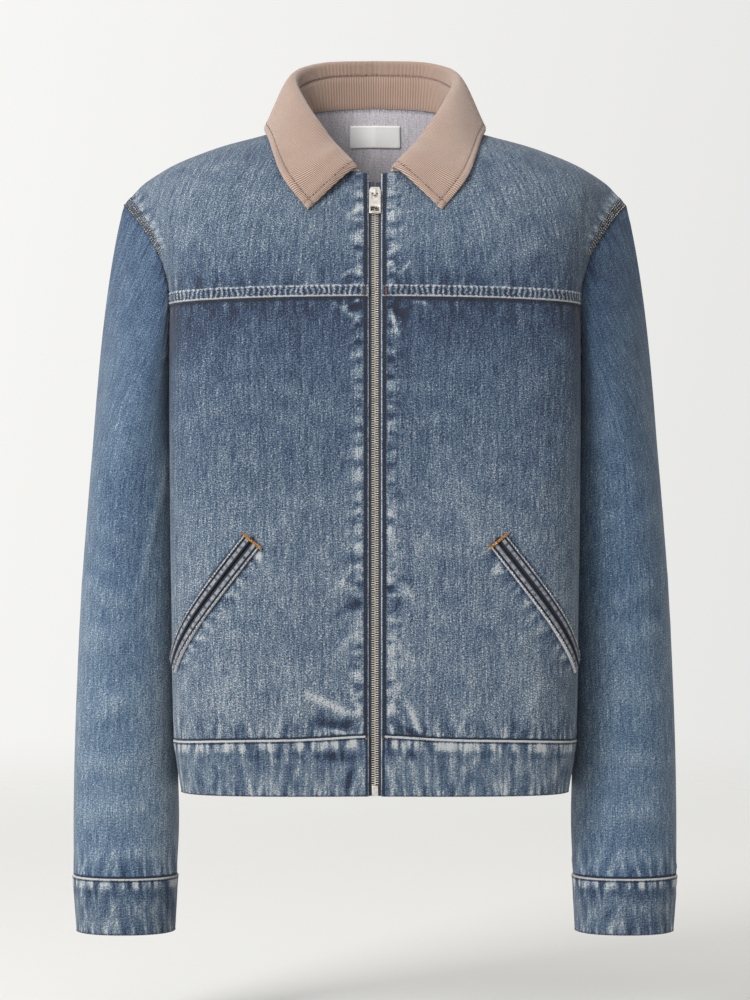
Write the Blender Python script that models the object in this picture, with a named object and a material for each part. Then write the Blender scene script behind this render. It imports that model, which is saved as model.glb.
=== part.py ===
"""A zipped denim jacket with a corduroy collar, filled out as if worn, in metres.

+Z is up and the front faces -Y. The origin lies between the shoulder seams, at the neck.
Every piece of cloth is a thin wall, made from a grid of points on its face side.
Each grid's first index runs up the cloth and its second runs round it.
Left and right are as seen from in front: left is -X.
"""

import math
from collections import namedtuple

import bpy
import numpy as np
from mathutils import Matrix, Vector
from mathutils.bvhtree import BVHTree

# Cloth and seams
DENIM = 0.0016  # wall of one layer of denim with its pressed seams
BAND_RISE = 0.0010  # how far the second layer of waistband and cuffs stands out
CORDUROY = 0.0026  # collar, two layers
SEAM_GAP = 0.0004  # how far each piece stops from its seam line
SLEEVE_GAP = 0.0005  # how far the sleeve's edge stands off the body's
SEAM_REACH = 0.0015  # edges nearer than this meet at a seam
FELLED_WIDTH = 0.0096  # a felled seam's raised strip
FELLED_RISE = 0.0008
LAID_GAP = 0.0006  # clearance of what lies on a panel

# Heights
HEM_Z = -0.586
BAND_Z = -0.5370
UNDERARM_Z = -0.300
YOKE_Z = -0.1600
SLEEVE_RING_Z = -0.335
CUFF_Z = -0.662
CUFF_END_Z = -0.711

# The body's outline at a height: superellipses in front and behind, pressed in beside the sleeve
FRONT_SQUARENESS = 4.2
BACK_SQUARENESS = 3.0
PRESS_Y = 0.004
PRESS_WIDTH = 0.040
FRONT_EDGE_X = 0.0052  # half the gap between the two fronts, where the zip shows
ARMHOLE_FRONT_Y = -0.050
ARMHOLE_BACK_Y = 0.054

Section = namedtuple("Section", "z half_width front back press")
BODY = (
    Section(-0.590, 0.1690, 0.1080, 0.0990, 0.006),
    Section(-0.560, 0.1740, 0.1105, 0.1025, 0.010),
    Section(-0.535, 0.1775, 0.1150, 0.1060, 0.014),
    Section(-0.500, 0.1790, 0.1185, 0.1090, 0.018),
    Section(-0.440, 0.1800, 0.1190, 0.1085, 0.022),
    Section(-0.360, 0.1815, 0.1185, 0.1090, 0.024),
    Section(-0.300, 0.1820, 0.1180, 0.1120, 0.024),
    Section(-0.230, 0.1820, 0.1160, 0.1140, 0.017),
    Section(-0.158, 0.1815, 0.1085, 0.1120, 0.011),
)

# How the seams hang: the yoke line falls to the sides, the waistband's seam rises to the zip
YOKE_SAG = 0.0040
YOKE_SAG_REACH = 0.060  # how far above and below the seam the cloth follows it
BAND_LIFT = 0.0035
BAND_LIFT_WIDTH = 0.26  # share of the half width
BAND_SAG = 0.0040
BAND_SAG_REACH = 0.030
SAG_HALF_WIDTH = 0.175

# The neck seam, by the angle round the neck from centre front (0) to centre back (180)
NECK_HALF_WIDTH = 0.077
NECK_FRONT = 0.064
NECK_BACK = 0.062
NeckRise = namedtuple("NeckRise", "angle z")
NECK = (
    NeckRise(0, -0.0520),
    NeckRise(30, -0.0440),
    NeckRise(60, -0.0230),
    NeckRise(90, -0.0050),
    NeckRise(120, 0.0090),
    NeckRise(150, 0.0165),
    NeckRise(180, 0.0190),
)

# The shoulder seam, from the neck to the shoulder tip
SeamPoint = namedtuple("SeamPoint", "x y z")
SHOULDER = (
    SeamPoint(0.077, 0.0000, -0.0050),
    SeamPoint(0.100, 0.0010, -0.0115),
    SeamPoint(0.149, 0.0030, -0.0260),
    SeamPoint(0.185, 0.0040, -0.0417),
    SeamPoint(0.208, 0.0040, -0.0570),
    SeamPoint(0.222, 0.0030, -0.0730),
)

# How the cloth arrives at its top edge: share of the way along the edge, and direction there
Arrival = namedtuple("Arrival", "share x y z")
FRONT_ARRIVAL = (
    Arrival(0.00, 0.00, 0.45, 0.89),
    Arrival(0.38, 0.00, 0.90, 0.40),
    Arrival(0.60, 0.00, 1.00, 0.12),
    Arrival(0.82, 0.00, 1.00, 0.08),
    Arrival(1.00, 0.45, 0.77, 0.45),
)
BACK_ARRIVAL = (
    Arrival(0.00, 0.00, -0.30, 0.95),
    Arrival(0.38, 0.00, -0.95, 0.25),
    Arrival(0.60, 0.00, -1.00, 0.10),
    Arrival(0.82, 0.00, -1.00, 0.08),
    Arrival(1.00, 0.45, -0.77, 0.45),
)
# Where shares of the yoke line lead: centre, neck point, chest fold and armhole
YOKE_SHARES = (0.0, 0.36, 0.87, 1.0)
TOP_SHARES = (0.0, 0.40, 0.82, 1.0)
LEAVING_PULL = 1.05  # how strongly the cloth keeps its direction at the yoke line and the top
ARRIVING_PULL = 1.15

# The sleeve's rings below the underarm, from the cuff's end up
Ring = namedtuple("Ring", "z outer inner centre_y half_depth")
SLEEVE = (
    Ring(-0.711, 0.2610, 0.1765, -0.0125, 0.0410),
    Ring(-0.662, 0.2645, 0.1740, -0.0105, 0.0428),
    Ring(-0.620, 0.2650, 0.1725, -0.0080, 0.0440),
    Ring(-0.560, 0.2645, 0.1735, -0.0040, 0.0465),
    Ring(-0.480, 0.2620, 0.1700, 0.0000, 0.0510),
    Ring(-0.400, 0.2580, 0.1680, 0.0030, 0.0560),
    Ring(-0.335, 0.2530, 0.1675, 0.0040, 0.0600),
)
SLEEVE_ROUNDNESS = 2.2
# How the sleeve leaves the armhole: outward, away from the middle of its depth, and down
LEAVE_OUT = 0.19
LEAVE_APART = 0.32
LEAVE_DOWN = 0.92

# The collar: where it rolls over, and where its outer edge lies, from the front end to centre back
CollarLine = namedtuple("CollarLine", "share roll_x roll_y roll_z edge_x edge_y edge_z")
COLLAR = (
    CollarLine(0.0, 0.0125, -0.0640, -0.0455, 0.0572, -0.0900, -0.0840),
    CollarLine(0.2, 0.0370, -0.0370, -0.0225, 0.0800, -0.0730, -0.0530),
    CollarLine(0.4, 0.0590, -0.0020, 0.0165, 0.0930, -0.0310, -0.0190),
    CollarLine(0.6, 0.0670, 0.0310, 0.0455, 0.0975, 0.0120, -0.0030),
    CollarLine(0.8, 0.0450, 0.0570, 0.0600, 0.0720, 0.0620, 0.0030),
    CollarLine(1.0, 0.0000, 0.0670, 0.0635, 0.0000, 0.0810, 0.0060),
)
COLLAR_FRONT_ANGLE = 10.0  # degrees round the neck, where the collar's end is sewn on
COLLAR_LIFT = 0.0008  # clearance above the neck seam
ROLL_RADIUS = 0.0042
ROLL_TURN = math.radians(130)
FALL_PULL = 0.55  # how strongly the fall keeps the roll's direction
STAND_SEAM_BELOW_ROLL = 0.0110
STAND_FROM_SHARE = 0.14
DRAPE_CENTRE = (0.0, 0.0, -0.160)
DRAPE_CLEARANCE = CORDUROY + 0.0010
DRAPE_ABOVE = 0.080  # how far above a point the cloth below it is looked for
DRAPE_BELOW = 0.030
STEEPEST_SLOPE = 0.35

# Pockets: two welts with a slit between, slanting down to the side
POCKET_TOP_X = 0.1038
POCKET_TOP_Z = -0.3675
POCKET_SLANT = math.radians(51.5)
POCKET_LENGTH = 0.140
WELT_WIDTH = 0.0078
WELT_SLIT = 0.0012
WELT_RISE = 0.0016

# Zip, measured in depth from the fronts' face
ZIP_TOP_Z = -0.0585
ZIP_END_Z = -0.5855
TAPE_INNER_X = 0.0033
TAPE_OUTER_X = 0.0150
TAPE_DEPTH = DENIM + 0.0004
TAPE = 0.0010
CHAIN_HALF_WIDTH = 0.0030
CHAIN = 0.0026
CHAIN_DEPTH = TAPE_DEPTH + TAPE / 2 - CHAIN / 2
ZIP_BOX_LENGTH = 0.0090
ZIP_BOX_WIDTH = 0.0056
ZIP_BOX = 0.0038

# Slider and pull tab
SLIDER_Z = -0.0695
SLIDER_LENGTH = 0.0125
SLIDER_WIDTH = 0.0100
SLIDER_FOOT_WIDTH = 0.0076
SLIDER_CORNER = 0.0030  # how far below its top end a plate is widest
SLIDER_PLATE = 0.0012
SLIDER_GAP = 0.0005  # from the chain to each plate
BLOCK_OVERLAP = 0.0003  # how far one block of the slider runs into the next
POST_WIDTH = 0.0022
POST_LOW = 0.0012
POST_BELOW_END = 0.0010
BRIDGE_WIDTH = 0.0024
BRIDGE_REACH = 0.0036  # half its length along the zip
BRIDGE_BAR = 0.0012
PIN_RADIUS = 0.0007
PIN_GAP = 0.0003
PULL_LENGTH = 0.0212
PULL_WIDTH = 0.0100
PULL_ARM = 0.0022
PULL_HOLE_LENGTH = 0.0058
PULL_WINDOW_LOW = 0.0190
PULL_WINDOW_HIGH = 0.0145
PULL_RIM = 0.0012
PULL_TOP_TURNS = (75, 45, 0, -35)  # degrees up the pin's round top

LABEL_WIDTH = 0.045
LABEL_HEIGHT = 0.019
LABEL_TOP_Z = 0.0045
LABEL = 0.0010


# ---------------------------------------------------------------- curves


def along(rows, key, name, at):
    """Smooth value of one named column of a table, at a value of its key column."""
    keys = np.array([getattr(row, key) for row in rows], float)
    values = np.array([getattr(row, name) for row in rows], float)
    slopes = np.gradient(values, keys)
    at = np.clip(at, keys[0], keys[-1])
    i = np.clip(np.searchsorted(keys, at) - 1, 0, len(keys) - 2)
    width = keys[i + 1] - keys[i]
    t = (at - keys[i]) / width
    return hermite(values[i], slopes[i] * width, values[i + 1], slopes[i + 1] * width, t)


def hermite(start, leave, end, arrive, t):
    return (
        start * (2 * t**3 - 3 * t**2 + 1)
        + leave * (t**3 - 2 * t**2 + t)
        + end * (3 * t**2 - 2 * t**3)
        + arrive * (t**3 - t**2)
    )


def bell(t):
    return np.exp(-(t**2))


def lengths_along(points):
    steps = np.linalg.norm(np.diff(points, axis=0), axis=1)
    return np.concatenate([[0.0], np.cumsum(steps)])


def at_lengths(points, wanted):
    """The points at these distances along a dense line."""
    run = lengths_along(points)
    return np.stack([np.interp(wanted, run, points[:, k]) for k in range(3)], axis=1)


def unit(vectors):
    size = np.linalg.norm(vectors, axis=-1, keepdims=True)
    return vectors / np.maximum(size, 1e-12)


def mirrored(grid):
    return grid * np.array([-1.0, 1.0, 1.0])


# ---------------------------------------------------------------- body


def outline(z, depth_name, squareness):
    """Right half of the body's front or back outline, from the centre line to the side."""
    facing = -1.0 if depth_name == "front" else 1.0
    width = along(BODY, "z", "half_width", z)
    depth = along(BODY, "z", depth_name, z)
    press = along(BODY, "z", "press", z)
    angle = np.linspace(math.pi / 2, 0, 240)
    across, out = np.cos(angle), np.sin(angle)
    reach = (across**squareness + out**squareness) ** (-1 / squareness)
    y = facing * depth * reach * out
    x = width * reach * across - press * bell((y - PRESS_Y) / PRESS_WIDTH)
    return np.stack([np.maximum(x, 0.0), y, np.full_like(x, z)], axis=1)


def armhole_y(z, widest):
    """Where the armhole cuts the outline: a quarter ellipse from the underarm up."""
    if z <= UNDERARM_Z:
        return 0.0
    rise = (min(z, YOKE_Z) - YOKE_Z) / (UNDERARM_Z - YOKE_Z)
    return widest * math.sqrt(max(0.0, 1 - rise**2))


def trimmed(points, start_x, stop_y):
    """The part of an outline between a start in x, near the centre, and a stop in y."""
    run = lengths_along(points)
    near_centre = points[:60, 0]
    begin = np.interp(start_x, near_centre, run[: len(near_centre)])
    end = np.interp(-abs(stop_y), -np.abs(points[:, 1]), run)
    return at_lengths(points, np.linspace(begin, end, 240))


def front_line(z):
    """Dense outline of one front at height z, from the zip edge to the side seam or armhole."""
    return trimmed(outline(z, "front", FRONT_SQUARENESS), FRONT_EDGE_X, armhole_y(z, ARMHOLE_FRONT_Y))


def back_line(z):
    return trimmed(outline(z, "back", BACK_SQUARENESS), 0.0, armhole_y(z, ARMHOLE_BACK_Y))


# Distances along a row: even over the flat, closer round the fold at the side
FRONT_COLUMNS = np.array([0, 0.017, 0.034, 0.052, 0.069, 0.090, 0.115, 0.138, 0.153, 0.165, 0.175, 0.184])
BACK_COLUMNS = np.array([0, 0.017, 0.034, 0.051, 0.068, 0.086, 0.108, 0.130, 0.147, 0.161, 0.173])
COLUMNS_BEYOND = 5
STRIP_STEPS = np.array([FELLED_WIDTH + FELLED_RISE, FELLED_WIDTH, 0.0])


def row_of(line, columns, with_strip=False):
    """Points of a row. With a strip, the last columns edge the felled seam at the armhole."""
    total = lengths_along(line)[-1]
    beyond = np.linspace(columns[-1], total, COLUMNS_BEYOND + 1)[1:]
    if with_strip:
        plain = COLUMNS_BEYOND - len(STRIP_STEPS) + 2
        before = np.linspace(columns[-1], total - STRIP_STEPS[0], plain)[1:-1]
        beyond = np.concatenate([before, total - STRIP_STEPS])
    return at_lengths(line, np.concatenate([columns, beyond]))


SIDE_HEIGHTS = np.linspace(BAND_Z, UNDERARM_Z, 6)
ARMHOLE_TURNS = np.linspace(math.pi / 2, 0, 6)[1:]
ARMHOLE_HEIGHTS = YOKE_Z + (UNDERARM_Z - YOKE_Z) * np.sin(ARMHOLE_TURNS)
LOWER_HEIGHTS = np.concatenate([SIDE_HEIGHTS, ARMHOLE_HEIGHTS])
UNDERARM_ROW = len(SIDE_HEIGHTS) - 1
STRIP_ROWS = np.array([0.0, FELLED_WIDTH, FELLED_WIDTH + FELLED_RISE])  # above the yoke line
UPPER_ROWS = 8


def settled(grid):
    """The grid with the hang of its seams."""
    grid = grid.copy()
    across = np.abs(grid[..., 0]) / SAG_HALF_WIDTH
    z = grid[..., 2]
    yoke = -YOKE_SAG * across**2 * bell((z - YOKE_Z) / YOKE_SAG_REACH)
    lift = BAND_LIFT * bell(across / BAND_LIFT_WIDTH) * (grid[..., 1] < 0)
    band = (lift - BAND_SAG * across**4) * bell((z - BAND_Z) / BAND_SAG_REACH)
    grid[..., 2] += yoke + band
    return grid


def neck_point(angle):
    """A point of the neck seam, at an angle round the neck in degrees from centre front."""
    turn = math.radians(angle)
    depth = NECK_FRONT if angle <= 90 else NECK_BACK
    height = along(NECK, "angle", "z", angle)
    return np.array([NECK_HALF_WIDTH * math.sin(turn), -depth * math.cos(turn), height])


def shoulder_line():
    x = np.linspace(SHOULDER[0].x, SHOULDER[-1].x, 80)
    return np.stack([x, along(SHOULDER, "x", "y", x), along(SHOULDER, "x", "z", x)], axis=1)


def top_line(is_front):
    """Neckline and shoulder seam in one line, from the centre to the shoulder tip."""
    first = math.degrees(math.asin(FRONT_EDGE_X / NECK_HALF_WIDTH)) if is_front else 180.0
    neck = np.array([neck_point(a) for a in np.linspace(first, 90.0, 60)])
    return np.concatenate([neck, shoulder_line()[1:]])


def directions(rows, shares):
    shares_listed = [row.share for row in rows]
    parts = [np.interp(shares, shares_listed, [getattr(row, k) for row in rows]) for k in "xyz"]
    return unit(np.stack(parts, axis=1))


def upper_grid(line_at, columns, is_front):
    """Rows from the yoke line to the neckline and shoulder seam, each column a smooth curve."""
    low = row_of(line_at(YOKE_Z), columns, with_strip=True)
    below = row_of(line_at(YOKE_Z - 0.002), columns, with_strip=True)
    share = lengths_along(low) / lengths_along(low)[-1]
    top = top_line(is_front)
    top_length = lengths_along(top)[-1]
    reached = np.interp(share, YOKE_SHARES, TOP_SHARES) * top_length
    reached[-len(STRIP_STEPS) :] = top_length - STRIP_STEPS
    high = at_lengths(top, reached)
    arrive = directions(FRONT_ARRIVAL if is_front else BACK_ARRIVAL, reached / top_length)
    chord = np.linalg.norm(high - low, axis=1, keepdims=True)
    leave = unit(low - below) * chord * LEAVING_PULL
    arrive = arrive * chord * ARRIVING_PULL
    dense = np.array([hermite(low, leave, high, arrive, t) for t in np.linspace(0, 1, 60)])
    grid = []
    for column in range(dense.shape[1]):
        line = dense[:, column]
        even = np.linspace(STRIP_ROWS[-1], lengths_along(line)[-1], UPPER_ROWS + 1)[1:]
        grid.append(at_lengths(line, np.concatenate([STRIP_ROWS, even])))
    return settled(np.array(grid).transpose(1, 0, 2))


def lower_grid(line_at, columns):
    return settled(np.array([row_of(line_at(z), columns) for z in LOWER_HEIGHTS]))


# ---------------------------------------------------------------- walls


def grid_normals(grid, wrap=False):
    """Unit normals of a grid, on its face side."""
    rows = np.concatenate([2 * grid[:1] - grid[1:2], grid, 2 * grid[-1:] - grid[-2:-1]])
    if wrap:
        columns = np.concatenate([grid[:, -1:], grid, grid[:, :1]], axis=1)
    else:
        before = 2 * grid[:, :1] - grid[:, 1:2]
        after = 2 * grid[:, -1:] - grid[:, -2:-1]
        columns = np.concatenate([before, grid, after], axis=1)
    return unit(np.cross(columns[:, 2:] - columns[:, :-2], rows[2:] - rows[:-2]))


def wall_mesh(name, face, back, wrap=False):
    """A closed wall between two grids of the same shape, both split along the shorter diagonals."""
    rows, columns = face.shape[:2]
    points = np.concatenate([face.reshape(-1, 3), back.reshape(-1, 3)])

    def at(r, c, side):
        return side * rows * columns + r * columns + c % columns

    def split(corners):
        first, second, third, fourth = (face[r, c % columns] for r, c in corners)
        if np.linalg.norm(first - third) <= np.linalg.norm(second - fourth):
            return ((0, 1, 2), (0, 2, 3))
        return ((1, 2, 3), (1, 3, 0))

    faces = []
    spans = columns if wrap else columns - 1
    top, end = rows - 1, columns - 1
    for c in range(spans):
        for r in range(rows - 1):
            corners = ((r, c), (r, c + 1), (r + 1, c + 1), (r + 1, c))
            for triangle in split(corners):
                faces.append([at(*corners[i], 0) for i in triangle])
                faces.append([at(*corners[i], 1) for i in reversed(triangle)])
        faces.append((at(0, c, 0), at(0, c, 1), at(0, c + 1, 1), at(0, c + 1, 0)))
        faces.append((at(top, c, 0), at(top, c + 1, 0), at(top, c + 1, 1), at(top, c, 1)))
    if not wrap:
        for r in range(rows - 1):
            faces.append((at(r, 0, 0), at(r + 1, 0, 0), at(r + 1, 0, 1), at(r, 0, 1)))
            faces.append((at(r, end, 0), at(r, end, 1), at(r + 1, end, 1), at(r + 1, end, 0)))
    mesh = bpy.data.meshes.new(name)
    mesh.from_pydata(points.tolist(), [], faces)
    return mesh


def add_object(name, mesh, material):
    obj = bpy.data.objects.new(name, mesh)
    mesh.materials.append(material)
    bpy.context.scene.collection.objects.link(obj)
    mesh.shade_smooth()
    mesh.set_sharp_from_angle(angle=math.radians(50))
    return obj


class Cloth:
    """One piece of cloth before it becomes a solid: its grid and the way its wall thickens."""

    def __init__(self, name, grid, material, rise=0.0, wrap=False):
        self.name = name
        self.grid = grid
        self.material = material
        self.rise = np.zeros(grid.shape[:2]) + rise
        self.wrap = wrap
        self.normals = grid_normals(grid, wrap)

    def rims(self):
        """Closed loops of indices along the piece's edges."""
        rows, columns = self.grid.shape[:2]
        low, high = ([(r, c) for c in range(columns)] for r in (0, rows - 1))
        if self.wrap:
            return [low, high]
        start, end = ([(r, c) for r in range(1, rows - 1)] for c in (0, columns - 1))
        return [low + end + high[::-1] + start[::-1]]

    def set_back(self):
        """The grid with its edges drawn in from the seam lines, along the cloth."""
        grid = self.grid.copy()
        pairs = [(grid[0], self.grid[1] - self.grid[0]), (grid[-1], self.grid[-2] - self.grid[-1])]
        if not self.wrap:
            pairs.append((grid[:, 0], self.grid[:, 1] - self.grid[:, 0]))
            pairs.append((grid[:, -1], self.grid[:, -2] - self.grid[:, -1]))
        for edge, inward in pairs:
            edge += unit(inward) * SEAM_GAP
        return grid

    def build(self):
        grid = self.set_back()
        face = grid + self.normals * self.rise[..., None]
        back = grid - self.normals * DENIM
        mesh = wall_mesh(self.name, face, back, self.wrap)
        return add_object(self.name, mesh, self.material)


def nearest_on_rims(cloth, place):
    """The nearest point of a piece's rims: its distance and the normal there."""
    best = (math.inf, None)
    for rim in cloth.rims():
        points = np.array([cloth.grid[index] for index in rim])
        normals = np.array([cloth.normals[index] for index in rim])
        run = np.roll(points, -1, axis=0) - points
        t = np.sum((place - points) * run, axis=1) / np.maximum(np.sum(run * run, axis=1), 1e-12)
        t = np.clip(t, 0, 1)[:, None]
        distance = np.linalg.norm(points + run * t - place, axis=1)
        i = int(np.argmin(distance))
        if distance[i] < best[0]:
            best = (distance[i], unit(normals[i] * (1 - t[i]) + np.roll(normals, -1, axis=0)[i] * t[i]))
    return best


def mitre(pairs):
    """Pieces that meet at a seam thicken in one common direction there.

    Each pair names pieces and those that they may meet."""
    shared = []
    for pieces, others in pairs:
        for cloth in pieces:
            for index in sorted({index for rim in cloth.rims() for index in rim}):
                place = cloth.grid[index]
                found = [nearest_on_rims(other, place) for other in others if other is not cloth]
                distance, normal = min(found, key=lambda entry: entry[0])
                if distance < SEAM_REACH:
                    shared.append((cloth, index, unit(normal + cloth.normals[index])))
    for cloth, index, normal in shared:
        cloth.normals[index] = normal


# ---------------------------------------------------------------- body pieces and sleeves


def felled_rise(grid):
    """Raised strips along the yoke line, and at the armhole above it."""
    rise = np.zeros(grid.shape[:2])
    rise[len(STRIP_ROWS) :, -2:] = FELLED_RISE
    return rise


def front_pieces(lower, upper, denim):
    rise = felled_rise(upper)
    rise[: len(STRIP_ROWS) - 1] = FELLED_RISE
    pieces = [Cloth("front_right", lower, denim), Cloth("front_yoke_right", upper, denim, rise)]
    pieces.append(Cloth("front_left", mirrored(lower)[:, ::-1], denim))
    pieces.append(Cloth("front_yoke_left", mirrored(upper)[:, ::-1], denim, rise[:, ::-1]))
    return pieces


def back_piece(lower, upper, denim):
    """The back in one piece, from the waistband to the back neck and both shoulder seams."""
    half = np.concatenate([lower, upper[1:]])
    rise = np.concatenate([np.zeros(lower.shape[:2]), felled_rise(upper)[1:]])
    whole = np.concatenate([half[:, ::-1], mirrored(half)[:, 1:]], axis=1)
    return Cloth("back", whole, denim, np.concatenate([rise[:, ::-1], rise[:, 1:]], axis=1))


def armhole_ring(front_lower, front_upper, back_lower, back_upper):
    """The right armhole from the shoulder tip down the front, then up the back."""

    def edge(lower, upper, facing):
        low, high = lower[UNDERARM_ROW:], np.delete(upper, (0, 2), axis=0)
        rim = np.concatenate([low[:, -1], high[:, -1]])
        out = np.concatenate([grid_normals(low)[:, -1], grid_normals(high)[:, -1]])
        return rim + out * SLEEVE_GAP * facing

    front = edge(front_lower, front_upper, 1.0)
    back = edge(back_lower, back_upper, -1.0)
    return np.concatenate([front[::-1], back[1:-1]]), len(front)


def sleeve_turns(ring, front_count):
    """Angles round the sleeve for the armhole's points: half a turn in front, half behind."""
    run = lengths_along(np.concatenate([ring, ring[:1]]))
    middle, total = run[front_count - 1], run[-1]
    before = math.pi * run / middle
    after = math.pi + math.pi * (run - middle) / (total - middle)
    return np.where(run <= middle, before, after)[:-1]


def sleeve_ring(z, turn):
    """The sleeve at height z. A turn of 0 is its outer side, a quarter turn its front."""
    outer, inner, centre_y, half_depth = (along(SLEEVE, "z", name, z) for name in Ring._fields[1:])
    across, out = np.cos(turn), np.sin(turn)
    power = SLEEVE_ROUNDNESS
    reach = (np.abs(across) ** power + np.abs(out) ** power) ** (-1 / power)
    x = (outer + inner) / 2 + (outer - inner) / 2 * reach * across
    return np.stack([x, centre_y - half_depth * reach * out, np.full_like(x, z)], axis=1)


CAP_ROWS = 7
SLEEVE_HEIGHTS = np.linspace(SLEEVE_RING_Z, CUFF_Z, 9)


def sleeve_grid(ring, turn):
    """Rows from the cuff seam up to the armhole."""
    low = sleeve_ring(SLEEVE_RING_Z, turn)
    below = sleeve_ring(SLEEVE_RING_Z - 0.004, turn)
    out, forward = np.cos(turn), np.sin(turn)
    down = np.full_like(turn, -LEAVE_DOWN)
    leave = unit(np.stack([LEAVE_OUT + 0.02 * out, -LEAVE_APART * forward, down], axis=1))
    chord = np.linalg.norm(low - ring, axis=1, keepdims=True)
    arrive = unit(below - low) * chord
    cap = [hermite(ring, leave * chord, low, arrive, t) for t in np.linspace(0, 1, CAP_ROWS + 1)]
    tube = [sleeve_ring(z, turn) for z in SLEEVE_HEIGHTS[1:]]
    return np.array(cap + tube)[::-1, ::-1]


def cuff_grid(turn):
    return np.array([sleeve_ring(z, turn) for z in np.linspace(CUFF_END_Z, CUFF_Z, 3)])[:, ::-1]


def both_sleeves(name, grid, denim, rise=0.0):
    right = Cloth(f"{name}_right", grid, denim, rise, wrap=True)
    return [right, Cloth(f"{name}_left", mirrored(grid)[:, ::-1], denim, rise, wrap=True)]


def waistband(denim):
    """One band round the hem, open at the zip."""
    heights = np.linspace(HEM_Z, BAND_Z, 3)
    front = np.array([row_of(front_line(z), FRONT_COLUMNS) for z in heights])
    back = np.array([row_of(back_line(z), BACK_COLUMNS) for z in heights])
    half = np.concatenate([front, back[:, ::-1][:, 1:]], axis=1)
    whole = np.concatenate([half, mirrored(half)[:, ::-1][:, 1:]], axis=1)
    return Cloth("waistband", settled(whole), denim, BAND_RISE)


# ---------------------------------------------------------------- collar


def draper(objects):
    """A function that lifts a point clear of the cloth below it, away from the chest's middle."""
    points, faces = [], []
    for obj in objects:
        start = len(points)
        points += [v.co.copy() for v in obj.data.vertices]
        faces += [[start + i for i in p.vertices] for p in obj.data.polygons]
    tree = BVHTree.FromPolygons(points, faces)
    centre = Vector(DRAPE_CENTRE)

    def lifted(point):
        away = Vector(point) - centre
        height = away.length
        away.normalize()
        start = centre + away * (height + DRAPE_ABOVE)
        place, normal, _, _ = tree.ray_cast(start, -away, DRAPE_ABOVE + DRAPE_BELOW)
        if place is None:
            return np.array(point)
        slope = max(STEEPEST_SLOPE, away.dot(normal))
        needed = (place - centre).length + DRAPE_CLEARANCE / slope
        return np.array(centre + away * max(height, needed))

    return lifted


def collar_line(share, part):
    return np.array([along(COLLAR, "share", f"{part}_{axis}", share) for axis in "xyz"])


def collar_path(share, drape):
    """The collar's face at one place: the inner leaf's ends, the roll, and the fall to its edge."""
    angle = COLLAR_FRONT_ANGLE + (180.0 - COLLAR_FRONT_ANGLE) * share
    seam = neck_point(angle)
    top = collar_line(share, "roll")
    edge = drape(collar_line(share, "edge"))
    up = unit(top - seam)
    out = edge - seam
    out = unit(out - up * np.dot(out, up))
    start = seam + up * COLLAR_LIFT
    centre = top - up * ROLL_RADIUS + out * ROLL_RADIUS
    turns = np.linspace(0, ROLL_TURN, 5)
    roll = [centre + (up * math.sin(a) - out * math.cos(a)) * ROLL_RADIUS for a in turns]
    leaf = np.linalg.norm(roll[0] - start)
    joint = start + (roll[0] - start) * max(0.0, 1 - STAND_SEAM_BELOW_ROLL / leaf)
    reach = edge - roll[-1]
    leave = unit(roll[-1] - roll[-2]) * np.linalg.norm(reach) * FALL_PULL
    fall = [drape(hermite(roll[-1], leave, edge, reach, t)) for t in np.linspace(0, 1, 6)[1:]]
    return start, joint, [*roll, *fall]


def collar_halves(drape):
    """Right halves of the stand and of the fall, from the front end to centre back."""
    stand, fall = [], []
    for share in np.linspace(0, 1, 13):
        start, joint, rest = collar_path(share, drape)
        fall.append([joint, *rest])
        if share >= STAND_FROM_SHARE:
            stand.append([start, (start + joint) / 2, joint])
    return np.array(stand), np.array(fall)


def collar_piece(name, half, corduroy, gap_columns):
    """A wall on both sides of centre back, its seam edges drawn in."""
    grid = np.concatenate([half, mirrored(half)[::-1][1:]])
    normals = grid_normals(grid)
    for column, inward in gap_columns:
        grid[:, column] += unit(grid[:, column + inward] - grid[:, column]) * SEAM_GAP
    mesh = wall_mesh(name, grid, grid - normals * CORDUROY)
    return add_object(name, mesh, corduroy)


# ---------------------------------------------------------------- pockets and label


def distance_at_x(x, z):
    """How far along the cloth from the zip edge a front reaches x."""
    line = front_line(z)
    return float(np.interp(x, line[:120, 0], lengths_along(line)[:120]))


def welt_grid(low, high):
    """A strip of the right front's face along the pocket, between two offsets from its slit."""
    start = distance_at_x(POCKET_TOP_X, POCKET_TOP_Z)
    rows = []
    for across in (low, high):
        row = []
        for run in np.linspace(0, POCKET_LENGTH, 15):
            distance = start + run * math.cos(POCKET_SLANT) + across * math.sin(POCKET_SLANT)
            z = POCKET_TOP_Z - run * math.sin(POCKET_SLANT) + across * math.cos(POCKET_SLANT)
            row.append(at_lengths(front_line(z), [distance])[0])
        rows.append(row)
    return np.array(rows)


def pocket_welts(denim):
    inner, outer = WELT_SLIT / 2, WELT_SLIT / 2 + WELT_WIDTH
    for part, low, high in (("upper", inner, outer), ("lower", -outer, -inner)):
        grid = welt_grid(low, high)
        normals = grid_normals(grid)
        under = grid + normals * LAID_GAP
        over = grid + normals * (LAID_GAP + WELT_RISE)
        name = f"pocket_welt_{part}"
        add_object(f"{name}_right", wall_mesh(name, over, under), denim)
        over, under = mirrored(over)[:, ::-1], mirrored(under)[:, ::-1]
        add_object(f"{name}_left", wall_mesh(name, over, under), denim)


def on_grid(grid, x, z):
    """The point of a right half grid at a place in x and z. Outside it, its edge is carried on."""
    line = np.array([[np.interp(z, column[:, 2], column[:, k]) for k in range(3)] for column in grid])
    if x < line[0, 0]:
        return line[0] + (line[1] - line[0]) * (x - line[0, 0]) / (line[1, 0] - line[0, 0])
    return np.array([np.interp(x, line[:, 0], line[:, k]) for k in range(3)])


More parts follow.
